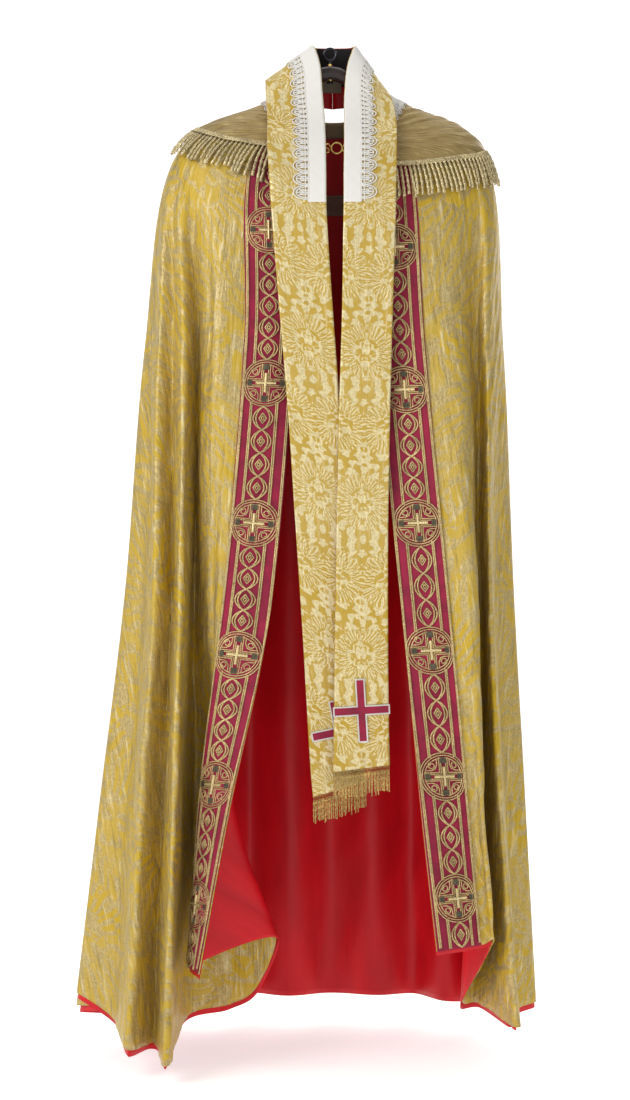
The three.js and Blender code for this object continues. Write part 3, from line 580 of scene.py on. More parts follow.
@dataclass(frozen=True)
class Woven(Finish):
    """Plain weave in cotton or linen: matt, with crossing threads."""

    # The second colour is painted shading between the crossing threads.
    painted_groove_shade: str = "#8A857A"
    thread_mm: float = 1.0

    def shader(self, tree: bpy.types.NodeTree) -> bpy.types.NodeSocket:
        """Build crossing threads with uneven tone, and painted shading between them.

        Args:
            tree: the material's node tree.

        Returns:
            The shader socket that goes to the output.
        """
        place = put(tree, "TexCoord", out="Object")
        scale = math.pi / 10 / (self.thread_mm * MM)
        upright = put(tree, "TexWave", {"Vector": place, "Scale": scale, "Distortion": 0.6}, out="Fac",
                      bands_direction="X")
        level = put(tree, "TexWave", {"Vector": place, "Scale": scale, "Distortion": 0.6}, out="Fac",
                    bands_direction="Z")
        crossing = put(tree, "Math", {0: upright, 1: level}, operation="MULTIPLY")
        # Painted shading: where the threads do not cross on top, the colour takes the painted shading colour.
        colour = put(tree, "Mix", {0: crossing, 6: linear(self.painted_groove_shade), 7: linear(self.base)},
                     out=2, data_type="RGBA")
        relief = put(tree, "Bump", {"Height": crossing, "Strength": 0.35, "Distance": 0.0003})
        return put(tree, "BsdfPrincipled", {"Base Color": colour, "Roughness": self.roughness,
                                            "Normal": relief})


@dataclass(frozen=True)
class StainedBeech(Finish):
    """Dark stained beech under satin varnish: straight grain and a soft gloss."""

    def shader(self, tree: bpy.types.NodeTree) -> bpy.types.NodeSocket:
        """Build grain along the arms, about 2 mm wide, under a thin coat.

        Args:
            tree: the material's node tree.

        Returns:
            The shader socket that goes to the output.
        """
        place = put(tree, "TexCoord", out="Object")
        grain = put(tree, "Mapping", {"Vector": place, "Scale": (30.0, 480.0, 480.0)})
        streak = put(tree, "TexNoise", {"Vector": grain, "Scale": 1.0, "Detail": 6.0})
        colour = put(tree, "Mix", {0: streak, 6: linear("#120B07"), 7: linear(self.base)},
                     out=2, data_type="RGBA")
        relief = put(tree, "Bump", {"Height": streak, "Strength": 0.2, "Distance": 0.0004})
        return put(tree, "BsdfPrincipled", {"Base Color": colour, "Roughness": self.roughness,
                                            "Coat Weight": 0.4, "Coat Roughness": 0.25, "Normal": relief})


@dataclass(frozen=True)
class Metal(Finish):
    """Solid metal with rubbed highlights and tarnish in patches."""

    tarnish: str = "#6B5325"

    def shader(self, tree: bpy.types.NodeTree) -> bpy.types.NodeSocket:
        """Build tarnish patches that also dull the gloss, and a faint relief from the same patches.

        Args:
            tree: the material's node tree.

        Returns:
            The shader socket that goes to the output.
        """
        place = put(tree, "TexCoord", out="Object")
        patch = put(tree, "TexNoise", {"Vector": place, "Scale": 160.0, "Detail": 4.0})
        amount = put(tree, "MapRange", {"Value": patch, "From Min": 0.48, "From Max": 0.68, "To Max": 0.7})
        colour = put(tree, "Mix", {0: amount, 6: linear(self.base), 7: linear(self.tarnish)},
                     out=2, data_type="RGBA")
        rough = put(tree, "MapRange", {"Value": amount, "To Min": self.roughness, "To Max": 0.5})
        relief = put(tree, "Bump", {"Height": patch, "Strength": 0.15, "Distance": 0.0004})
        return put(tree, "BsdfPrincipled", {"Base Color": colour, "Metallic": 1.0,
                                            "Roughness": rough, "Normal": relief})


# The brocades' and the lame's glint and shade colours are painted highlight and painted shading for their
# crinkles.
COPE_BROCADE = Brocade("silk_damask_on_gold_lame", "#C2AB70", 0.44, 0.45, figure="#C2A01A", shade="#5C4C1A",
                       crinkle=0.7, worn=0.6)
STOLE_BROCADE = Brocade("silk_damask_on_pale_lame", "#E2D2A0", 0.42, 0.4, figure="#B89628", glint="#FBF3D2",
                        shade="#8C7130", repeat=(0.076, 0.22), crinkle=0.4, worn=0.2, leaf_scale=90.0,
                        rays=40.0)
HOOD_LAME = Lame("tarnished_gold_lame", "#9C8450", 0.42, 0.5)
RED_SATIN = Satin("red_acetate_satin", "#C80E1C", 0.45)
CRIMSON_VELVET = Pile("crimson_cotton_velvet", "#8E1236", 0.8)
# Each thread and weave below has a second, darker colour: painted shading in its twist's grooves or between
# its threads.
GOLD_PASSING = Thread("couched_gold_passing_thread", "#DCC48E", 0.42, 0.55, painted_groove_shade="#8A6E3C")
OLD_SILVER = Thread("couched_grey_silver_thread", "#6E6650", 0.6, 0.25, painted_groove_shade="#2E2A1C")
BRIGHT_GOLD = Thread("padded_bright_gold_thread", "#F0E0AE", 0.35, 0.6, painted_groove_shade="#B59650")
BULLION = Thread("gold_wire_bullion", "#F4E3B0", 0.38, 0.35, painted_groove_shade="#6E5220")
COTTON_LACE = Woven("white_cotton_lace", "#F4F2EE", 0.85, painted_groove_shade="#D9D6CF", thread_mm=1.0)
# A near-black linen, used as painted shading for the inside of the stole's neck.
NECK_SHADE_LINEN = Woven("black_linen_painted_neck_shade", "#2A2224", 0.95, painted_groove_shade="#151112", thread_mm=1.4)
COTTON_TAPE = Woven("grey_cotton_tape", "#B5AE98", 0.9, painted_groove_shade="#6E6856", thread_mm=1.6)
KHAKI_THREAD = Thread("matt_gold_rayon_thread", "#D2B26A", 0.7, 0.1, painted_groove_shade="#96743A", twist_mm=2.0)
BEECH = StainedBeech("dark_stained_beech", "#33201A", 0.4)
GILT_BRASS = Metal("gilt_cast_brass", "#E6C878", 0.24)
BLACK_STEEL = Metal("blackened_steel_wire", "#3C3C40", 0.34, tarnish="#1C1B1C")


# ---- Meshes ----
def finished(name: str, mesh: bpy.types.Mesh, finish: Finish, smooth: bool = True) -> bpy.types.Object:
    """Give a mesh an object at the origin and its material."""
    piece = bpy.data.objects.new(name, mesh)
    bpy.context.scene.collection.objects.link(piece)
    mesh.materials.append(finish.material())
    mesh.polygons.foreach_set("use_smooth", [smooth] * len(mesh.polygons))
    LOG.info("made %s with %d faces", name, len(mesh.polygons))
    return piece


def sheet_mesh(name: str, counts: tuple[int, int], place: Callable[[np.ndarray, np.ndarray], np.ndarray],
               finish: Finish, bend: Callable[..., np.ndarray] | None = None) -> bpy.types.Object:
    """Make a cloth from a flat grid, laid by a function of its two shares.

    Args:
        name: the piece's name.
        counts: faces across and down.
        place: gives points from shares across and down, each 0 to 1.
        finish: the cloth's finish.
        bend: gives a height off the sheet from metres across and down it, and the share across.

    Returns:
        The cloth, with its own metres across and down as its UV map.
    """
    across, down = counts
    bm = bmesh.new()
    bmesh.ops.create_grid(bm, x_segments=across, y_segments=down, size=0.5)
    mesh = bpy.data.meshes.new(name)
    bm.to_mesh(mesh)
    bm.free()
    flat = np.empty(len(mesh.vertices) * 3)
    mesh.vertices.foreach_get("co", flat)
    shares = np.clip(flat.reshape(-1, 3)[:, :2] + 0.5, 0, 1)
    i = np.rint(shares[:, 0] * across).astype(int)
    j = np.rint(shares[:, 1] * down).astype(int)
    s, t = np.meshgrid(np.linspace(0, 1, across + 1), np.linspace(0, 1, down + 1))
    points = place(s, t)
    u = np.concatenate([np.zeros((down + 1, 1)),
                        np.cumsum(np.linalg.norm(np.diff(points, axis=1), axis=-1), axis=1)], axis=1)
    u -= u[:, across // 2:across // 2 + 1]
    v = np.concatenate([np.zeros((1, across + 1)),
                        np.cumsum(np.linalg.norm(np.diff(points, axis=0), axis=-1), axis=0)], axis=0)
    if bend is not None:
        normal = np.cross(np.gradient(points, axis=1), np.gradient(points, axis=0))
        normal /= np.maximum(np.linalg.norm(normal, axis=-1, keepdims=True), 1e-12)
        points = points + normal * bend(u, v, s)[..., None]
    mesh.vertices.foreach_set("co", points[j, i].ravel())
    corner = np.empty(len(mesh.loops), int)
    mesh.loops.foreach_get("vertex_index", corner)
    uv = np.stack([u[j, i], v[j, i]], axis=-1)[corner]
    mesh.uv_layers.new(name="cloth").data.foreach_set("uv", uv.ravel())
    mesh.update()
    return finished(name, mesh, finish)


def thicken(piece: bpy.types.Object, thickness: float, backing: Finish | None = None) -> None:
    """Give a cloth its thickness, inward from its face, and a backing where it has one."""
    solid = piece.modifiers.new("thickness", "SOLIDIFY")
    solid.thickness = thickness
    solid.offset = -1
    if backing is not None:
        piece.data.materials.append(backing.material())
        solid.material_offset = 1


def couch(name: str, lines: Sequence[np.ndarray], radius: float, finish: Finish, sides: int = 1,
          ) -> bpy.types.Object:
    """Make couched or worked threads as round cords along lines of points.

    Args:
        name: the piece's name.
        lines: one array of points for each cord.
        radius: the cords' radius in metres.
        finish: the thread's finish.
        sides: the roundness of the cords, 0 for square.

    Returns:
        All the cords as one mesh.
    """
    curve = bpy.data.curves.new(name, "CURVE")
    curve.dimensions = "3D"
    curve.bevel_depth = radius
    curve.bevel_resolution = sides
    curve.use_fill_caps = True
    for line in lines:
        spline = curve.splines.new("POLY")
        spline.points.add(len(line) - 1)
        spline.points.foreach_set("co", np.c_[line, np.ones(len(line))].ravel())
    draft = bpy.data.objects.new(name + "_draft", curve)
    bpy.context.scene.collection.objects.link(draft)
    bpy.context.view_layer.update()
    mesh = bpy.data.meshes.new_from_object(draft.evaluated_get(bpy.context.evaluated_depsgraph_get()))
    bpy.data.objects.remove(draft)
    mesh.name = name
    mesh.materials.clear()
    return finished(name, mesh, finish)


def strand(length: float, radius: float, turns: float, steps: int) -> bpy.types.Mesh:
    """Make one twisted strand that hangs from the origin along +Y, flattened and closed at its ends.

    Args:
        length, radius: the strand's sizes, in metres.
        turns: how often it twists along its length.
        steps: how many lengths it is cut into.

    Returns:
        The strand, as a mesh that many fringes share.
    """
    bm = bmesh.new()
    bmesh.ops.create_circle(bm, cap_ends=True, segments=6, radius=radius)
    bmesh.ops.scale(bm, vec=(1.0, 0.62, 1.0), verts=bm.verts)
    top = list(bm.faces)
    for _ in range(steps):
        made = bmesh.ops.extrude_face_region(bm, geom=top)["geom"]
        verts = [g for g in made if isinstance(g, bmesh.types.BMVert)]
        bmesh.ops.delete(bm, geom=[f for f in top if f.is_valid], context="FACES_KEEP_BOUNDARY")
        bmesh.ops.rotate(bm, cent=(0, 0, 0), matrix=Matrix.Rotation(2 * math.pi * turns / steps, 3, "Z"),
                         verts=verts)
        bmesh.ops.translate(bm, vec=(0, 0, length / steps), verts=verts)
        top = [g for g in made if isinstance(g, bmesh.types.BMFace)]
    bmesh.ops.recalc_face_normals(bm, faces=bm.faces)
    bmesh.ops.transform(bm, matrix=Matrix.Rotation(-math.pi / 2, 4, "X"), verts=bm.verts)
    mesh = bpy.data.meshes.new("strand")
    bm.to_mesh(mesh)
    bm.free()
    return mesh


def fringe(name: str, model: bpy.types.Mesh, spots: np.ndarray, place: Placer, finish: Finish, seed: int,
           sway: float) -> bpy.types.Object:
    """Hang copies of a strand along an edge.

    Args:
        name: the piece's name.
        model: the strand.
        spots: where each strand hangs, in metres along the edge.
        place: gives points from metres along the edge, below it and out from it.
        finish: the strands' finish.
        seed: picks how the strands vary.
        sway: how far a strand's foot strays, in metres.

    Returns:
        The whole fringe as one mesh.
    """
    random = np.random.default_rng(seed)
    shape = np.empty(len(model.vertices) * 3)
    model.vertices.foreach_get("co", shape)
    shape = shape.reshape(-1, 3)
    bm = bmesh.new()
    for _ in spots:
        bm.from_mesh(model)
    mesh = bpy.data.meshes.new(name)
    bm.to_mesh(mesh)
    bm.free()
    length = shape[:, 1].max()
    moved = []
    for spot in spots:
        stretch, stray, lift = random.uniform(0.88, 1.06), random.normal(0, sway), random.uniform(0, 1)
        share = shape[:, 1] / length
        moved.append(place(spot + shape[:, 0] + stray * share**1.5, shape[:, 1] * stretch,
                           shape[:, 2] + lift * 0.0012 * share))
    mesh.vertices.foreach_set("co", np.concatenate(moved).ravel())
    mesh.update()
    return finished(name, mesh, finish)


def lace_lines(length: float, depth: float, pitch: float) -> list[np.ndarray]:
    """Draw a run of pointed lace scallops, flat, in metres along and out from an edge.

    Args:
        length: how far the lace runs.
        depth: how far its points stand out.
        pitch: the distance from point to point.

    Returns:
        Lines of places along and out, for threads.
    """
    lines = []
    for start in np.arange(0, length - 0.5 * pitch, pitch):
        turn = np.linspace(0, math.pi, 15)
        for size in (1.0, 0.8):
            peak = depth * size * np.sin(turn) ** 0.8
            lines.append(np.c_[start + pitch * (0.5 - 0.5 * size * np.cos(turn)), peak])
        for share in (0.3, 0.5, 0.7):
            foot = start + pitch * (0.5 + (share - 0.5) * 0.5)
            peak = depth * 0.78 * math.sin(math.pi * share)
            lines.append(np.array([[foot, 0], [start + pitch * share, peak]]))
        eye = np.linspace(0, 2 * math.pi, 9)
        lines.append(np.c_[start + pitch * (0.5 + 0.11 * np.cos(eye)), depth * (0.42 + 0.11 * np.sin(eye))])
        lines.append(np.c_[start + pitch * (0.06 * np.cos(eye)), depth * (0.14 + 0.1 * np.sin(eye))])
    for out in (0.0, 0.2):
        run = np.arange(0, length, 0.004)
        lines.append(np.c_[run, np.full(len(run), out * depth)])
    return lines


DRAPE = Drape()


# ---- The cope ----
def swinging(piece: bpy.types.Object, side: Side, reach: float = 0.28) -> None:
    """Bake a front piece's place into its mesh; the ends of the line it would swing on are worked out but not
    used.
    """
    top, down = swing_line(side)
    start, end = tuple(top - down * reach), tuple(top + down * reach)
    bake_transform(piece)
    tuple(start)
    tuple(end)


def over(columns: tuple[float, float], rows: tuple[float, float], height: float,
         ) -> Callable[[np.ndarray, np.ndarray], np.ndarray]:
    """Give a placer that covers columns and rows of the drape at a height in metres.

    Args:
        columns, rows: first and last place across and down the drape.
        height: metres outwards from the drape.

    Returns:
        The placer, which takes shares across and down.
    """
    def place(s: np.ndarray, t: np.ndarray) -> np.ndarray:
        """Give points from shares across and down."""
        column = columns[0] + (columns[1] - columns[0]) * s
        row = rows[0] + (rows[1] - rows[0]) * t
        return DRAPE.place(column, row, np.full(np.shape(column), height))
    return place


# Crests sharper than the lining can follow: column, and how many columns to each side it bridges.
CRESTS = [(6.04, 0.3), (28.02, 0.36), (31.27, 0.3)]


def bridged(columns: tuple[float, float], rows: tuple[float, float], depth: float,
            ) -> Callable[[np.ndarray, np.ndarray], np.ndarray]:
    """Give a placer for a lining, which spans the sharpest crests instead of following them in.

    Args:
        columns, rows: first and last place across and down the drape.
        depth: metres inwards from the drape.

    Returns:
        The placer, which takes shares across and down.
    """
    def place(s: np.ndarray, t: np.ndarray) -> np.ndarray:
        """Give points from shares across and down."""
        column = columns[0] + (columns[1] - columns[0]) * s
        row = rows[0] + (rows[1] - rows[0]) * t
        lower = np.clip((row - 1.0) / 0.8, 0, 1)
        span = 0.03 + lower * sum(width * np.exp(-((column - crest) / width) ** 2) for crest, width in CRESTS)
        before, after = DRAPE.point(column - span, row), DRAPE.point(column + span, row)
        down = DRAPE.point(column, row + 0.06) - DRAPE.point(column, row - 0.06)
        normal = np.cross(after - before, down)
        normal /= np.linalg.norm(normal, axis=-1, keepdims=True)
        return (before + after) / 2 - normal * depth
    return place


@dataclass
class Cope:
    """The brocade shell and satin lining, each in two fronts and a back."""

    shell: float = 1.6 * MM
    lining_depth: float = 2.5 * MM
    lining: float = 0.6 * MM
    hem_show: float = 0.028
    per_column: int = 12
    per_front_column: int = 18
    per_row: int = 40

    def build(self) -> None:
        """Make the six large cloths."""
        self._shell("cope_front_left", (0, LEFT_SIDE), Side.LEFT, 11)
        self._shell("cope_front_right", (RIGHT_SIDE, LAST), Side.RIGHT, 12)
        self._shell("cope_back", (LEFT_SIDE, RIGHT_SIDE), None, 13)
        self._lining("lining_front_left", (0, LEFT_SIDE), Side.LEFT, 21)
        self._lining("lining_front_right", (RIGHT_SIDE, LAST), Side.RIGHT, 22)
        self._lining("lining_of_back", (LEFT_SIDE, RIGHT_SIDE), None, 23)

    def _counts(self, columns: tuple[float, float]) -> tuple[int, int]:
        """Give the grid's faces across and down for a stretch of columns."""
        fine = self.per_column if columns[0] == LEFT_SIDE else self.per_front_column
        return int((columns[1] - columns[0]) * fine), int(HEM * self.per_row)

    @staticmethod
    def _settled(columns: tuple[float, float], s: np.ndarray) -> np.ndarray:
        """Give how freely the cloth ripples: not at its seams nor under the front bands."""
        column = columns[0] + (columns[1] - columns[0]) * s
        free = np.minimum.reduce([column - 1.05, LAST - 1.05 - column,
                                  np.abs(column - LEFT_SIDE), np.abs(column - RIGHT_SIDE)])
        return np.clip(free / 0.8, 0, 1) ** 1.5

    def _shell(self, name: str, columns: tuple[float, float], side: Side | None, seed: int) -> None:
        """Make one outer cloth, with soft handling marks.

        Args:
            name: the piece's name.
            columns: first and last place across the drape.
            side: the front it belongs to, or None for the back.
            seed: picks the marks.
        """
        def bend(u: np.ndarray, v: np.ndarray, s: np.ndarray) -> np.ndarray:
            """Give the ripples off the cloth, in metres."""
            fall = np.clip(v / 0.5, 0.2, 1) * self._settled(columns, s)
            broad, fine = ripples(u, v, (0.09, 0.5), seed), ripples(u, v, (0.032, 0.1), seed + 1)
            return fall * (0.0016 * broad + 0.0008 * fine + 0.0024)
        piece = sheet_mesh(name, self._counts(columns), over(columns, (0, 5), 0.0), COPE_BROCADE, bend)
        thicken(piece, self.shell)
        if side is None:
            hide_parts("shell_left_back", "shell_centre_back", "shell_right_back")
            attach(piece, "cope")
            self._declare(piece, (1.75, 1.45), 1.27)
        else:
            s = side.value
            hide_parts(f"shell_{s}_front", f"shell_{s}_shoulder", f"shell_{s}_front_skirt",
                        f"shell_{s}_side_skirt")
            swinging(piece, side)
            self._declare(piece, *self._front_cut(side))

    def _lining(self, name: str, columns: tuple[float, float], side: Side | None, seed: int) -> None:
        """Make one lining, which shows a little below the hem, with slanting creases.

        Args:
            name: the piece's name.
            columns: first and last place across the drape.
            side: the front it belongs to, or None for the back.
            seed: picks the creases.
        """
        def bend(u: np.ndarray, v: np.ndarray, s: np.ndarray) -> np.ndarray:
            """Give the ripples off the cloth, in metres."""
            column = columns[0] + (columns[1] - columns[0]) * s
            roomy = np.clip((column - LEFT_SIDE - 4) / 2, 0, 1) * np.clip((RIGHT_SIDE - 4 - column) / 2, 0, 1)
            low = np.clip((v - 0.6) / 0.6, 0, 1) * roomy
            return 0.0016 * low * (ripples(u + 0.6 * v, v, (0.13, 0.3), seed) - 1)
        rows = (0, HEM + self.hem_show)
        place = bridged(columns, rows, self.lining_depth)
        piece = sheet_mesh(name, self._counts(columns), place, RED_SATIN, bend)
        thicken(piece, self.lining)
        if side is None:
            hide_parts("lining_back")
            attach(piece, "cope")
            self._declare(piece, (1.75, 1.45), 1.27)
        else:
            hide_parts(f"lining_{side.value}_front", f"lining_{side.value}_skirt")
            swinging(piece, side)
            self._declare(piece, *self._front_cut(side))

    @staticmethod
    def _front_cut(side: Side) -> tuple[tuple[float, float], float]:
        """Give a front's flat size and area, in metres: the left one is the fuller."""
        return ((0.85, 1.45), 0.64) if side is Side.LEFT else ((0.62, 1.45), 0.48)

    @staticmethod
    def _declare(piece: bpy.types.Object, flat: tuple[float, float], area: float) -> None:
        """Take a cloth that hangs from the hanger, and do nothing with it."""


# The heights of the roundels' centres, in millimetres.
ROUNDEL_HEIGHTS = {
    Side.LEFT: (-282, -507, -711, -902, -1089, -1260),
    Side.RIGHT: (-307, -517, -711, -895, -1075, -1248),
}


@dataclass
class Orphrey:
    """A velvet band down a front edge, with couched cords, a knot chain and six roundels."""

    side: Side
    first_row: float = 0.5
    lift: float = 1.8 * MM
    edge: float = 34.5 * MM
    strip: float = 19.0 * MM
    radius: float = 34.0 * MM
    cord: float = 1.25 * MM

    def __post_init__(self) -> None:
        """Measure the band's middle line."""
        left = self.side is Side.LEFT
        self.columns = (at("left band"), at("left edge")) if left else (at("right band"), at("right edge"))
        self.rows = np.linspace(self.first_row, HEM, 500)
        middle = DRAPE.point(np.full(500, sum(self.columns) / 2), self.rows)
        self.down = np.concatenate([[0], np.cumsum(np.linalg.norm(np.diff(middle, axis=0), axis=1))])
        self.heights = middle[:, 2]
        self.centres = [float(np.interp(-h * MM, -self.heights, self.down))
                        for h in ROUNDEL_HEIGHTS[self.side]]

    def place(self, across: np.ndarray, down: np.ndarray, height: np.ndarray) -> np.ndarray:
        """Give points from metres across the band, down it and above it.

        Args:
            across, down, height: places on the band, in metres.

        Returns:
            The points, with x, y and z last.
        """
        across, down, height = np.broadcast_arrays(across, down, height)
        row = np.interp(down, self.down, self.rows)
        inner, outer = self.columns
        width = np.linalg.norm(DRAPE.point(np.full(row.shape, inner), row)
                               - DRAPE.point(np.full(row.shape, outer), row), axis=-1)
        share = np.clip(0.5 + across / width, 0.01, 0.99)
        return DRAPE.place(inner + (outer - inner) * share, row, height)

    def build(self) -> None:
        """Make the band, its discs and its three kinds of couched thread."""
        s = self.side.value
        low, high = sorted(self.columns)
        band = sheet_mesh(f"orphrey_{s}", (26, 460), over((low, high), (self.first_row, 5.0), self.lift),
                          CRIMSON_VELVET)
        thicken(band, 1.0 * MM)
        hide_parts(f"orphrey_{s}_upper", f"orphrey_{s}_lower")
        swinging(band, self.side)
        for k, centre in enumerate(self.centres):
            self._disc(k + 1, centre)
        self._threads("orphrey_cords", self._edges() + self._chain(), self.cord, GOLD_PASSING, 1)
        self._threads("roundel_tracery", self._roundels(self._tracery), self.cord * 0.78, GOLD_PASSING, 1)
        self._threads("roundel_blocks", self._roundels(self._blocks), 1.2 * MM, OLD_SILVER, 0)
        self._threads("roundel_crosses", self._roundels(self._cross), 2.4 * MM, BRIGHT_GOLD, 1)

    def _threads(self, name: str, lines: list[np.ndarray], radius: float, finish: Finish, sides: int) -> None:
        """Couch lines drawn across and down the band onto it."""
        height = self.lift + radius * 0.7 + (0.6 * MM if "roundel" in name else 0)
        laid = [self.place(line[:, 0], line[:, 1], np.full(len(line), height)) for line in lines]
        piece = couch(f"{name}_{self.side.value}", laid, radius, finish, sides)
        swinging(piece, self.side)

    def _disc(self, number: int, centre: float) -> None:
        """Make the velvet ground of one roundel.

        Args:
            number: the roundel's number, from the top.
            centre: its place down the band, in metres.
        """
        name = f"roundel_{self.side.value}_{number}"
        bm = bmesh.new()
        bmesh.ops.create_circle(bm, cap_ends=True, segments=40, radius=self.radius)
        for thickness in (0.006, 0.008, 0.008):
            bmesh.ops.inset_region(bm, faces=[f for f in bm.faces if len(f.verts) > 4], thickness=thickness)
        bmesh.ops.poke(bm, faces=[f for f in bm.faces if len(f.verts) > 4])
        mesh = bpy.data.meshes.new(name + "_ground")
        bm.to_mesh(mesh)
        bm.free()
        flat = np.empty(len(mesh.vertices) * 3)
        mesh.vertices.foreach_get("co", flat)
        flat = flat.reshape(-1, 3)
        points = self.place(flat[:, 0], centre + flat[:, 1], np.full(len(flat), self.lift + 0.8 * MM))
        mesh.vertices.foreach_set("co", points.ravel())
        mesh.update()
        piece = finished(name + "_ground", mesh, CRIMSON_VELVET)
        thicken(piece, 0.6 * MM)
        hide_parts(name)
        swinging(piece, self.side)

    def _edges(self) -> list[np.ndarray]:
        """Draw the edge cords and the doubled cords beside the central strip.

        Returns:
            The cords' centre lines.
        """
        lines = []
        end = self.down[-1] - 0.002
        for across in (self.edge, self.edge - 0.0022):
            run = np.arange(0.002, end, 0.008)
            lines += [np.c_[np.full(len(run), sign * across), run] for sign in (-1, 1)]
        for start, stop in self._stretches(0.8):
            run = np.linspace(start, stop, max(3, int((stop - start) / 0.008)))
            for across in (self.strip, self.strip - 0.0023):
                lines += [np.c_[np.full(len(run), sign * across), run] for sign in (-1, 1)]
        return lines

    def _stretches(self, clear: float) -> list[tuple[float, float]]:
        """Give the stretches between the roundels, as metres down the band."""
        gap = self.radius * clear
        stops = [0.002, *[c + sign * gap for c in self.centres for sign in (-1, 1)], self.down[-1] - 0.002]
        return [(a, b) for a, b in zip(stops[::2], stops[1::2]) if b - a > 0.01]

    def _chain(self) -> list[np.ndarray]:
        """Draw the interlaced ovals and lozenges of the central strip.

        Returns:
            The cords' centre lines.
        """
        lines = []
        for start, stop in self._stretches(1.02):
            count = max(1, round((stop - start) / 0.034))
            run = np.linspace(start, stop, count * 12 + 1)
            phase = math.pi * count * (run - start) / (stop - start)
            for size in (0.0135, 0.0095):
                wave = size * np.sign(np.sin(phase)) * np.abs(np.sin(phase)) ** 0.75
                lines += [np.c_[wave, run], np.c_[-wave, run]]
            pitch = (stop - start) / count
            for k in range(count):
                mid = start + (k + 0.5) * pitch
                for width, tall in ((0.0052, 0.0075), (0.0022, 0.0035)):
                    lozenge = [(0, -tall), (width, 0), (0, tall), (-width, 0), (0, -tall)]
                    lines.append(np.array([(a, mid + b) for a, b in lozenge]))
        return lines

    def _roundels(self, figure: Callable[[], list[np.ndarray]]) -> list[np.ndarray]:
        """Repeat a figure drawn about the origin on every roundel."""
        return [line + np.array([0, centre]) for centre in self.centres for line in figure()]

    def _tracery(self) -> list[np.ndarray]:
        """Draw a roundel's rings, the double lines of its arms and the knots between them.

        Returns:
            The cords' centre lines, about the roundel's middle.
        """
        ring = np.linspace(0, 2 * math.pi, 49)
        lines = [self.radius * size * np.c_[np.cos(ring), np.sin(ring)] for size in (1.0, 0.9, 0.79)]
        quarter = []
        for gap in (3.4, 5.8):
            quarter.append(np.array([(gap, gap), (gap, 15), (gap, 28)]) * MM)
            quarter.append(np.array([(gap, gap), (15, gap), (28, gap)]) * MM)
        quarter.append(np.array([(9, 26), (9, 17), (11, 12), (17, 9), (26, 9)]) * MM)
        spiral = np.linspace(0, 2.6 * math.pi, 18)
        reach = 5.4 * MM * (1 - 0.22 * spiral / math.pi)
        quarter.append(np.c_[16 * MM + reach * np.cos(spiral), 16 * MM + reach * np.sin(spiral)])
        for line in quarter:
            for turn in range(4):
                a = turn * math.pi / 2
                lines.append(line @ np.array([[math.cos(a), math.sin(a)], [-math.sin(a), math.cos(a)]]))
        return lines

    def _blocks(self) -> list[np.ndarray]:
        """Draw the grey blocks at the ends of a roundel's arms."""
        lines = []
        for offset in np.arange(-3.2, 3.3, 1.6) * MM:
            for near, far in ((19 * MM, 27.5 * MM), (-19 * MM, -27.5 * MM)):
                lines.append(np.array([(offset, near), (offset, (near + far) / 2), (offset, far)]))
                lines.append(np.array([(near, offset), ((near + far) / 2, offset), (far, offset)]))
        return lines

    def _cross(self) -> list[np.ndarray]:
        """Draw the padded bright cross in the middle of a roundel."""
        arm = 14 * MM
        return [np.array([(-arm, 0), (0, 0), (arm, 0)]), np.array([(0, -arm), (0, 0), (0, arm)])]


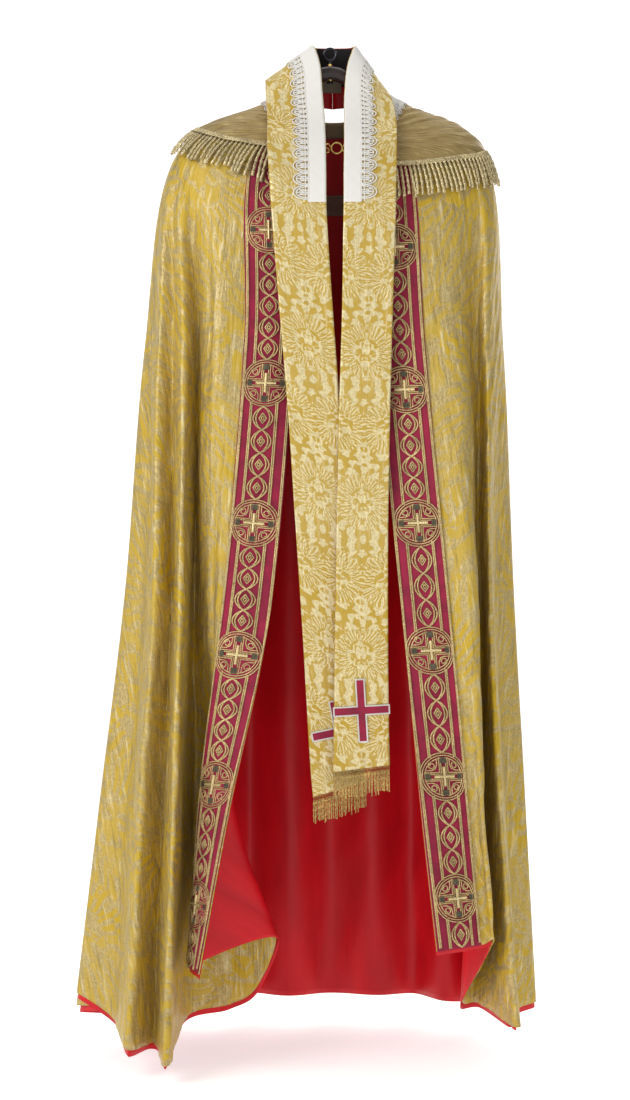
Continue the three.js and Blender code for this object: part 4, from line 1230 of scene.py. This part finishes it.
@dataclass
class Hood:
    """The lame shoulder cape with its bullion fringe, and the hanging shield at the back."""

    height: float = 6.4 * MM
    thick: float = 1.4 * MM
    drop: float = 44 * MM
    pitch: float = 6.6 * MM
    flap_top: float = -0.216
    flap_depth: float = 0.262
    flap_half: float = 0.150

    def edge(self, column: np.ndarray) -> np.ndarray:
        """Give the row of the cape's lower edge at a column."""
        stops = [0, LEFT_SIDE, at("left back ridge"), at("right back ridge"), RIGHT_SIDE, LAST]
        return np.interp(column, stops, [0.62, 0.76, 1, 1, 1, 0.88])

    def build(self) -> None:
        """Make the cape, its braid and fringes, and the shield."""
        def lay(s: np.ndarray, t: np.ndarray) -> np.ndarray:
            """Give points from shares across and down."""
            column = s * LAST
            return DRAPE.place(column, self.edge(column) * t, np.full(column.shape, self.height))
        def bend(u: np.ndarray, v: np.ndarray, s: np.ndarray) -> np.ndarray:
            """Give the ripples off the cloth, in metres."""
            return 0.0012 * ripples(u, v, (0.05, 0.12), 31)
        cape = sheet_mesh("hood_cape", (340, 40), lay, HOOD_LAME, bend)
        thicken(cape, self.thick)
        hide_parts("hood_left_front", "hood_right_front", "hood_back_yoke")
        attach(cape, "cope")
        self._braid()
        model = strand(self.drop, 2.6 * MM, 2.6, 12)
        self._side_fringe("left", (0.02, LEFT_SIDE), model, 41)
        self._side_fringe("right", (RIGHT_SIDE, LAST - 0.02), model, 42)
        self._shield(model)

    def _braid(self) -> None:
        """Make the narrow braid along the cape's edge."""
        column = np.linspace(0.03, LAST - 0.03, 420)
        reach = DRAPE.reach_down(column, self.edge(column))
        lines = []
        for k in range(4):
            row = self.edge(column) - (0.6 + 1.9 * k) * MM / reach
            lines.append(DRAPE.place(column, row, np.full(column.shape, self.height + 0.8 * MM)))
        zig = np.linspace(0.03, LAST - 0.03, 900)
        side_to_side = np.sign(np.sin(np.arange(900) * math.pi / 2 + 0.8))
        row = self.edge(zig) - (3.4 + 3.0 * side_to_side) * MM / DRAPE.reach_down(zig, self.edge(zig))
        lines.append(DRAPE.place(zig, row, np.full(zig.shape, self.height + 1.5 * MM)))
        piece = couch("hood_braid", lines, 0.9 * MM, BULLION, 0)
        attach(piece, "cope")

    def _side_fringe(self, side: str, columns: tuple[float, float], model: bpy.types.Mesh, seed: int) -> None:
        """Hang the bullion below one front of the cape.

        Args:
            side: the word for the side in the names.
            columns: first and last place across the drape.
            model: one strand.
            seed: picks how the strands hang.
        """
        table = np.linspace(*columns, 300)
        points = DRAPE.place(table, self.edge(table), np.full(300, self.height))
        run = np.concatenate([[0], np.cumsum(np.linalg.norm(np.diff(points, axis=0), axis=1))])

        def place(along_edge: np.ndarray, below: np.ndarray, out: np.ndarray) -> np.ndarray:
            """Give points from metres along the edge, below it and out from it."""
            column = np.interp(along_edge, run, table)
            edge = self.edge(column)
            row = edge + below / DRAPE.reach_down(column, edge + 0.05)
            return DRAPE.place(column, row, self.height + 0.9 * MM + out)
        spots = np.arange(self.pitch / 2, run[-1], self.pitch)
        piece = fringe(f"bullion_{side}", model, spots, place, BULLION, seed, 0.0022)
        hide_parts(f"hood_fringe_{side}")
        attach(piece, "cope")

    def _flap_place(self, x: np.ndarray, z: np.ndarray, out: np.ndarray) -> np.ndarray:
        """Give points on the shield from its own x and z."""
        y = 0.086 + 0.155 * (self.flap_top - z) - 0.5 * x * x + 0.0016
        return np.stack([x, y + out, z], axis=-1)

    def _flap_foot(self, x: np.ndarray) -> np.ndarray:
        """Give the height of the shield's rounded edge."""
        return self.flap_top - self.flap_depth * np.sqrt(1 - (x / (self.flap_half * 1.04)) ** 2)

    def _shield(self, model: bpy.types.Mesh) -> None:
        """Make the shield with its galloon, a plain couched cross and its fringe.

        Args:
            model: one strand.
        """
        def lay(s: np.ndarray, t: np.ndarray) -> np.ndarray:
            """Give points from shares across and down."""
            x = self.flap_half * (2 * s - 1)
            z = self.flap_top + (self._flap_foot(x) - self.flap_top) * t
            return self._flap_place(x, z, np.zeros(x.shape))
        piece = sheet_mesh("hood_shield", (80, 60), lay, HOOD_LAME,
                           lambda u, v, s: 0.0007 * ripples(u, v, (0.06, 0.12), 33))
        thicken(piece, self.thick)
        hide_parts("hood_flap")
        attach(piece, "hood_flap")
        x = np.linspace(-self.flap_half, self.flap_half, 120) * 0.985
        lines = []
        for inset in (0.002, 0.005, 0.012):
            z = np.minimum(self._flap_foot(x) + inset, self.flap_top - 0.004)
            lines.append(self._flap_place(x * (1 - inset * 4), z, np.full(x.shape, 0.8 * MM)))
        for half in (0.006, 0.0035):
            arm, centre = 0.055, self.flap_top - 0.12
            outline = np.array([(half, -arm), (half, -half), (arm, -half),
                                (arm, half), (half, half), (half, arm)])
            outline = np.concatenate([outline, -outline, outline[:1]])
            out = np.full(len(outline), 0.8 * MM)
            lines.append(self._flap_place(outline[:, 0], centre + outline[:, 1], out))
        cords = couch("shield_cords", lines, 1.0 * MM, BULLION, 0)
        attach(cords, "hood_flap")
        table = np.linspace(-self.flap_half, self.flap_half, 400)
        foot = self._flap_foot(table)
        run = np.concatenate([[0], np.cumsum(np.hypot(np.diff(table), np.diff(foot)))])

        def place(along_edge: np.ndarray, below: np.ndarray, out: np.ndarray) -> np.ndarray:
            """Give points from metres along the edge, below it and out from it."""
            x_here = np.interp(along_edge, run, table)
            return self._flap_place(x_here, self._flap_foot(x_here) - 0.0005 - below, out + 0.0012)
        spots = np.interp(np.arange(-self.flap_half + 0.003, self.flap_half, self.pitch), table, run)
        hanging = fringe("bullion_shield", model, spots, place, BULLION, 43, 0.0012)
        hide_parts("hood_fringe_flap")
        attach(hanging, "hood_flap")


@dataclass
class NeckTrim:
    """The white collar with its lace, and the tapes inside the neck."""

    height: float = 8.2 * MM
    plain: float = 17 * MM
    lace: float = 15 * MM

    def build(self) -> None:
        """Make the collar, its lace and the tapes."""
        collar = sheet_mesh("collar_band", (300, 8), self._lay, COTTON_LACE)
        thicken(collar, 0.7 * MM)
        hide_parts("collar_lace")
        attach(collar, "cope")
        table = np.linspace(0, LAST, 400)
        edge = DRAPE.place(table, self._row(table, self.plain), np.full(400, self.height))
        run = np.concatenate([[0], np.cumsum(np.linalg.norm(np.diff(edge, axis=0), axis=1))])
        lines = []
        for line in lace_lines(float(run[-1]), self.lace, 0.0135):
            column = np.interp(line[:, 0], run, table)
            row = self._row(column, self.plain + line[:, 1])
            lines.append(DRAPE.place(column, row, np.full(len(line), self.height + 0.1 * MM)))
        piece = couch("collar_scallops", lines, 0.75 * MM, COTTON_LACE, 0)
        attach(piece, "cope")
        inside = -5.2 * MM
        self._tape("neck_binding", (6, LAST - 6), (0.0, 0.25), inside, "neck_tape", (0.30, 0.031))
        self._tape("woven_stay", (at("left back dip"), at("right back dip")), (1.0, 1.16), inside,
                   "stay_tape", (0.31, 0.036))

    def _row(self, column: np.ndarray, down: np.ndarray) -> np.ndarray:
        """Give the row that lies metres below the neckline."""
        return down / DRAPE.reach_down(column, np.full(np.shape(column), 0.12))

    def _lay(self, s: np.ndarray, t: np.ndarray) -> np.ndarray:
        """Lay the plain band round the neck."""
        column = s * LAST
        return DRAPE.place(column, self._row(column, t * self.plain), np.full(column.shape, self.height))

    @staticmethod
    def _tape(name: str, columns: tuple[float, float], rows: tuple[float, float], height: float, node: str,
              flat: tuple[float, float]) -> None:
        """Make one flat tape inside the lining.

        Args:
            name: the piece's name.
            columns, rows: first and last place across and down the drape.
            height: metres outwards from the drape.
            node: the solid it stands for.
            flat: its flat width and height, in metres; not used.
        """
        piece = sheet_mesh(name, (160, 6), over(columns, rows, height), COTTON_TAPE)
        thicken(piece, 0.6 * MM)
        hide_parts(node)
        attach(piece, "cope")


# ---- The stole ----
# Cross-lines round the neck from the left breast to the right: neck-side edge, then outer edge.
STOLE_NECK = [
    ((-8, -56, -112), (-93, -50, -112)), ((-11, -38, -70), (-95, -34, -84)),
    ((-14, -28, -30), (-96, -24, -62)), ((-21, -17, -3), (-96, -12, -51)),
    ((-25, 0, 5), (-95, 2, -48)), ((-22, 18, 7), (-80, 18, -56)),
    ((-12, 26, 8), (-50, 27, -76)), ((4, 28, 8), (4, 28, -84)),
    ((20, 26, 8), (54, 27, -78)), ((31, 18, 7), (72, 19, -62)),
    ((36, 0, 5), (79, 0, -58)), ((33, -17, -3), (86, -17, -68)),
    ((25, -28, -30), (92, -33, -82)), ((21, -38, -70), (96, -44, -98)),
    ((20, -56, -112), (98, -54, -116)),
]
# Hanging bands below the breast: z, centre x, y, half width, and how much higher the neck-side edge is.
STOLE_BANDS = {
    Side.LEFT: [
        (-150, -49.7, -82, 43, 0), (-205, -47.7, -106, 41.8, 0), (-270, -45, -115, 40, 0),
        (-400, -35.5, -119, 38.8, 0), (-560, -23, -120, 38, 0), (-720, -12.5, -117, 38, 0),
        (-880, -2, -114, 38, 2), (-1040, 8, -112, 38.5, 16), (-1098, 13, -112, 38.5, 22),
    ],
    Side.RIGHT: [
        (-150, 58.9, -82, 38.9, 0), (-205, 57.6, -106, 38.5, 0), (-270, 56.7, -116, 38, 0),
        (-400, 53.4, -123, 36.8, 0), (-560, 49, -127, 37, 0), (-720, 46, -129, 37.2, 0),
        (-880, 44.7, -130, 38.5, -2), (-1020, 44.5, -130, 40.1, -8), (-1066, 44.8, -130, 41.2, -10),
    ],
}


@dataclass
class StoleHalf:
    """One half of the stole, from the seam at the nape to its fringe."""

    side: Side
    thick: float = 2.2 * MM
    strip: float = 26 * MM
    lace: float = 22 * MM
    lace_pitch: float = 20.5 * MM
    lace_foot: float = -0.245
    fringe_drop: float = 39 * MM
    # Size of the near-black sheet that paints the shade inside the neck.
    shade_sheet_width: float = 58 * MM
    shade_sheet_run: float = 50 * MM

    def __post_init__(self) -> None:
        """Measure the run of both edges."""
        left = self.side is Side.LEFT
        sign = 1 if left else -1
        neck = STOLE_NECK[7::-1] if left else STOLE_NECK[7:]
        band = [((x + sign * half, y, z + tilt / 2), (x - sign * half, y, z - tilt / 2))
                for z, x, y, half, tilt in STOLE_BANDS[self.side]]
        lines = np.array(neck + band, float) * MM
        self.inner, self.outer = lines[:, 0], lines[:, 1]
        self.turn = -1 if left else 1
        self.table = np.linspace(0, len(lines) - 1, 600)
        edge = along(self.inner, self.table)
        self.run = np.concatenate([[0], np.cumsum(np.linalg.norm(np.diff(edge, axis=0), axis=1))])
        self.heights = edge[:, 2]

    def place(self, down: np.ndarray, across: np.ndarray, out: np.ndarray) -> np.ndarray:
        """Give points from metres down the neck-side edge, across from it and out from the lining.

        Args:
            down: metres along the neck-side edge from the nape.
            across: metres from the neck-side edge.
            out: metres towards the worn face.

        Returns:
            One point for each place.
        """
        down, across, out = np.broadcast_arrays(down, across, out)
        position = np.interp(down, self.run, self.table)
        inner, outer = along(self.inner, position), along(self.outer, position)
        width = np.linalg.norm(outer - inner, axis=-1, keepdims=True)
        side = (outer - inner) / width
        ahead = along(self.inner, position + 0.05) + along(self.outer, position + 0.05)
        behind = along(self.inner, position - 0.05) + along(self.outer, position - 0.05)
        normal = np.cross(ahead - behind, side) * self.turn
        normal /= np.linalg.norm(normal, axis=-1, keepdims=True)
        return inner + side * across[..., None] + normal * out[..., None]

    def build(self) -> None:
        """Make the cloth, its white strip and lace, its cross's edging and its fringe."""
        s = self.side.value
        left = self.side is Side.LEFT
        long = float(self.run[-1])

        def lay(a: np.ndarray, t: np.ndarray) -> np.ndarray:
            """Give points from shares across and down."""
            a = a if left else 1 - a
            position = np.interp(t * long, self.run, self.table)
            width = np.linalg.norm(along(self.outer, position) - along(self.inner, position), axis=-1)
            return self.place(t * long, a * width, np.full(a.shape, self.thick))
        cloth = sheet_mesh(f"stole_cloth_{s}", (26, 420), lay, STOLE_BROCADE,
                           lambda u, v, s: 0.0003 * (ripples(u, v, (0.05, 0.2), 51 + left) - 1))
        thicken(cloth, self.thick, RED_SATIN)
        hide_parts(f"stole_band_{s}", *(["stole_neck"] if left else []))
        self._hang(cloth)
        self._strip(s, left)
        self._neck_shade_sheet(s, left)
        self._cross_edging(s)
        self._ends(s)

    def _hang(self, piece: bpy.types.Object) -> None:
        """Bake a piece's place into its mesh."""
        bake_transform(piece)

    def _strip(self, s: str, left: bool) -> None:
        """Make the plain white strip on the neck-side edge and the lace beside it.

        Args:
            s: the word for the side in the names.
            left: whether it is the left half.
        """
        end = float(np.interp(-self.lace_foot, -self.heights, self.run))

        def lay(a: np.ndarray, t: np.ndarray) -> np.ndarray:
            """Give points from shares across and down."""
            a = a if left else 1 - a
            return self.place(t * end, 0.0006 + a * self.strip, np.full(a.shape, self.thick + 1.4 * MM))
        strip = sheet_mesh(f"stole_strip_{s}", (8, 120), lay, COTTON_LACE,
                           lambda u, v, s: 0.0003 * ripples(u, v, (0.02, 0.03), 61))
        thicken(strip, 0.8 * MM)
        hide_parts(f"stole_lace_{s}", *(["stole_lace_neck"] if left else []))
        self._hang(strip)
        lines = [self.place(line[:, 0], self.strip + line[:, 1], np.full(len(line), self.thick + 1.1 * MM))
                 for line in lace_lines(end, self.lace, self.lace_pitch)]
        lace = couch(f"stole_scallops_{s}", lines, 1.0 * MM, COTTON_LACE, 0)
        self._hang(lace)

    def _neck_shade_sheet(self, s: str, left: bool) -> None:
        """Put a near-black linen sheet inside the stole where it lies on the neck, as painted shading for the
        inside of the neck.

        Args:
            s: the word for the side in the names.
            left: whether it is the left half.
        """
        def lay(a: np.ndarray, t: np.ndarray) -> np.ndarray:
            """Give points from shares across and down."""
            a = a if left else 1 - a
            out = np.full(a.shape, -1.2 * MM)
            return self.place(t * self.shade_sheet_run, 0.001 + a * self.shade_sheet_width, out)
        # Painted shading: a near-black sheet where the inside of the stole's neck lies in shade.
        shade_sheet = sheet_mesh(f"neck_padding_{s}", (24, 40), lay, NECK_SHADE_LINEN)
        thicken(shade_sheet, 0.6 * MM)
        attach(shade_sheet, "stole_neck")

    def _cross_edging(self, s: str) -> None:
        """Couch a pale cord round the velvet cross on the band's end.

        Args:
            s: the word for the side in the names.
        """
        z, x, y, _, _ = STOLE_BANDS[self.side][-1]
        arm, stem, half = 39, 44, 5
        lean = 0.2 if self.side is Side.LEFT else 0.06
        quarter = [(half, -stem), (half, -half), (arm, -half), (arm, half), (half, half), (half, stem)]
        lines = []
        for grow in (0.6, -1.6):
            ring = [(a + math.copysign(grow, a), b + math.copysign(grow, b)) for a, b in quarter]
            ring = np.array(ring + [(-a, -b) for a, b in ring] + ring[:1], float)
            cos, sin = math.cos(lean), math.sin(lean)
            turned = ring @ np.array([[cos, sin], [-sin, cos]])
            face = np.full(len(ring), y - 2.4 - 1.9)
            lines.append(np.c_[x + turned[:, 0], face, z + 84 + turned[:, 1]] * MM)
        piece = couch(f"cross_edging_{s}", lines, 0.8 * MM, COTTON_LACE, 0)
        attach(piece, f"stole_{s}")

    def _ends(self, s: str) -> None:
        """Hang the thread fringe from the band's end.

        Args:
            s: the word for the side in the names.
        """
        z, x, y, half, tilt = STOLE_BANDS[self.side][-1]
        sign = 1 if self.side is Side.LEFT else -1
        width = 2 * half * MM
        slope = sign * tilt / (2 * half)

        def place(along_edge: np.ndarray, below: np.ndarray, out: np.ndarray) -> np.ndarray:
            """Give points from metres along the edge, below it and out from it."""
            from_middle = along_edge - width / 2
            return np.stack([x * MM + from_middle, y * MM - out - 0.0008,
                             z * MM + slope * from_middle - below - 0.0006], axis=-1)
        model = strand(self.fringe_drop, 1.15 * MM, 2.0, 8)
        spots = np.arange(0.001, width, 2.1 * MM)
        piece = fringe(f"stole_threads_{s}", model, spots, place, KHAKI_THREAD, 71, 0.0009)
        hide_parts(f"stole_fringe_{s}")
        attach(piece, f"stole_{s}")


# ---- The model's own solids, the stage and the camera ----
CARRIED_OVER = {
    "clasp_plate_left": GILT_BRASS,
    "clasp_plate_right": GILT_BRASS,
    "clasp_bar": GILT_BRASS,
    "clasp_hook": GILT_BRASS,
    "hanger_bush": GILT_BRASS,
    "hanger_body": BEECH,
    "hanging_eye": BLACK_STEEL,
    "stole_label": COTTON_TAPE,
    "stole_cross_left": CRIMSON_VELVET,
    "stole_cross_right": CRIMSON_VELVET,
}


def dress_solids() -> None:
    """Give the model's own solids their materials."""
    for name, finish in CARRIED_OVER.items():
        solid = bpy.data.objects[name]
        solid.data.materials.clear()
        solid.data.materials.append(finish.material())
        LOG.info("dressed %s in %s", name, finish.name)


@dataclass
class Studio:
    """A pale seamless stage, soft lights and the camera."""

    distance: float = 3.6
    across: float = -0.0225
    height: float = -0.75
    frame_height: float = 1.65
    clearance: float = 0.03
    reach: float = 9.0
    wall: float = 6.0

    def build(self) -> None:
        """Make the stage, the lights and the camera."""
        self._stage()
        self._light("key", (-2.4, -2.4, 0.9), 2.0, 72.0)
        self._light("fill", (1.6, -3.4, -0.4), 3.0, 15.0)
        self._light("top", (0.2, 0.6, 2.0), 2.5, 26.0)
        self._light("back", (1.4, 3.2, 0.6), 2.5, 30.0)
        world = bpy.data.worlds.new("studio")
        bpy.context.scene.world = world
        world.use_nodes = True
        world.node_tree.nodes["Background"].inputs["Color"].default_value = (1, 1, 1, 1)
        world.node_tree.nodes["Background"].inputs["Strength"].default_value = 0.38
        data = bpy.data.cameras.new("camera")
        data.sensor_fit = "VERTICAL"
        data.lens = data.sensor_height * self.distance / self.frame_height
        camera = bpy.data.objects.new("camera", data)
        camera.location = (self.across, -self.distance, self.height)
        camera.rotation_euler = (math.pi / 2, 0, 0)
        bpy.context.scene.collection.objects.link(camera)
        bpy.context.scene.camera = camera
        bpy.context.scene.view_settings.view_transform = "Standard"

    def _stage(self) -> None:
        """Make a floor that curves up into a backdrop."""
        floor = CAD_BOX[0][2] - self.clearance
        bm = bmesh.new()
        bmesh.ops.create_grid(bm, x_segments=2, y_segments=120, size=1.0)
        for vert in bm.verts:
            run = (vert.co.y + 1) / 2 * (2 * self.reach + math.pi / 2 + self.wall)
            flat = min(run, 2 * self.reach)
            turn = min(max(run - 2 * self.reach, 0.0), math.pi / 2)
            rise = max(run - 2 * self.reach - math.pi / 2, 0.0)
            vert.co = Vector((vert.co.x * self.reach, flat - self.reach + math.sin(turn),
                              floor + 1 - math.cos(turn) + rise))
        mesh = bpy.data.meshes.new("stage")
        bm.to_mesh(mesh)
        bm.free()
        stage = bpy.data.objects.new("stage", mesh)
        bpy.context.scene.collection.objects.link(stage)
        mesh.polygons.foreach_set("use_smooth", [True] * len(mesh.polygons))
        paper = bpy.data.materials.new("white_seamless_paper")
        paper.use_nodes = True
        shader = paper.node_tree.nodes["Principled BSDF"]
        shader.inputs["Base Color"].default_value = linear("#F4F3F0")
        shader.inputs["Roughness"].default_value = 0.9
        shader.inputs["Emission Color"].default_value = (1, 1, 1, 1)
        shader.inputs["Emission Strength"].default_value = 0.6
        mesh.materials.append(paper)
        stage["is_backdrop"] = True

    @staticmethod
    def _light(name: str, place: tuple[float, float, float], size: float, power: float) -> None:
        """Add a soft square light aimed at the middle of the set.

        Args:
            name: the light's name.
            place: where it stands, in metres.
            size: its square's side, in metres.
            power: its power, in watts.
        """
        data = bpy.data.lights.new(name, "AREA")
        data.size = size
        data.energy = power
        light = bpy.data.objects.new(name, data)
        light.location = place
        light.visible_camera = False
        aim = Vector((0, 0, -0.75)) - Vector(place)
        light.rotation_euler = aim.to_track_quat("-Z", "Y").to_euler()
        bpy.context.scene.collection.objects.link(light)


def main() -> None:
    """Build the whole set."""
    logging.basicConfig(level=logging.INFO, format="%(name)s: %(message)s")
    Studio().build()
    Cope().build()
    for side in Side:
        Orphrey(side).build()
    Hood().build()
    NeckTrim().build()
    for side in Side:
        StoleHalf(side).build()
    dress_solids()
    sizes = {"cad": [list(map(float, corner)) for corner in CAD_BOX],
             "visual": [list(map(float, corner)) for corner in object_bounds()]}
    LOG.info("model box %s, visual box %s", sizes["cad"], sizes["visual"])


if __name__ == "__main__":
    main()
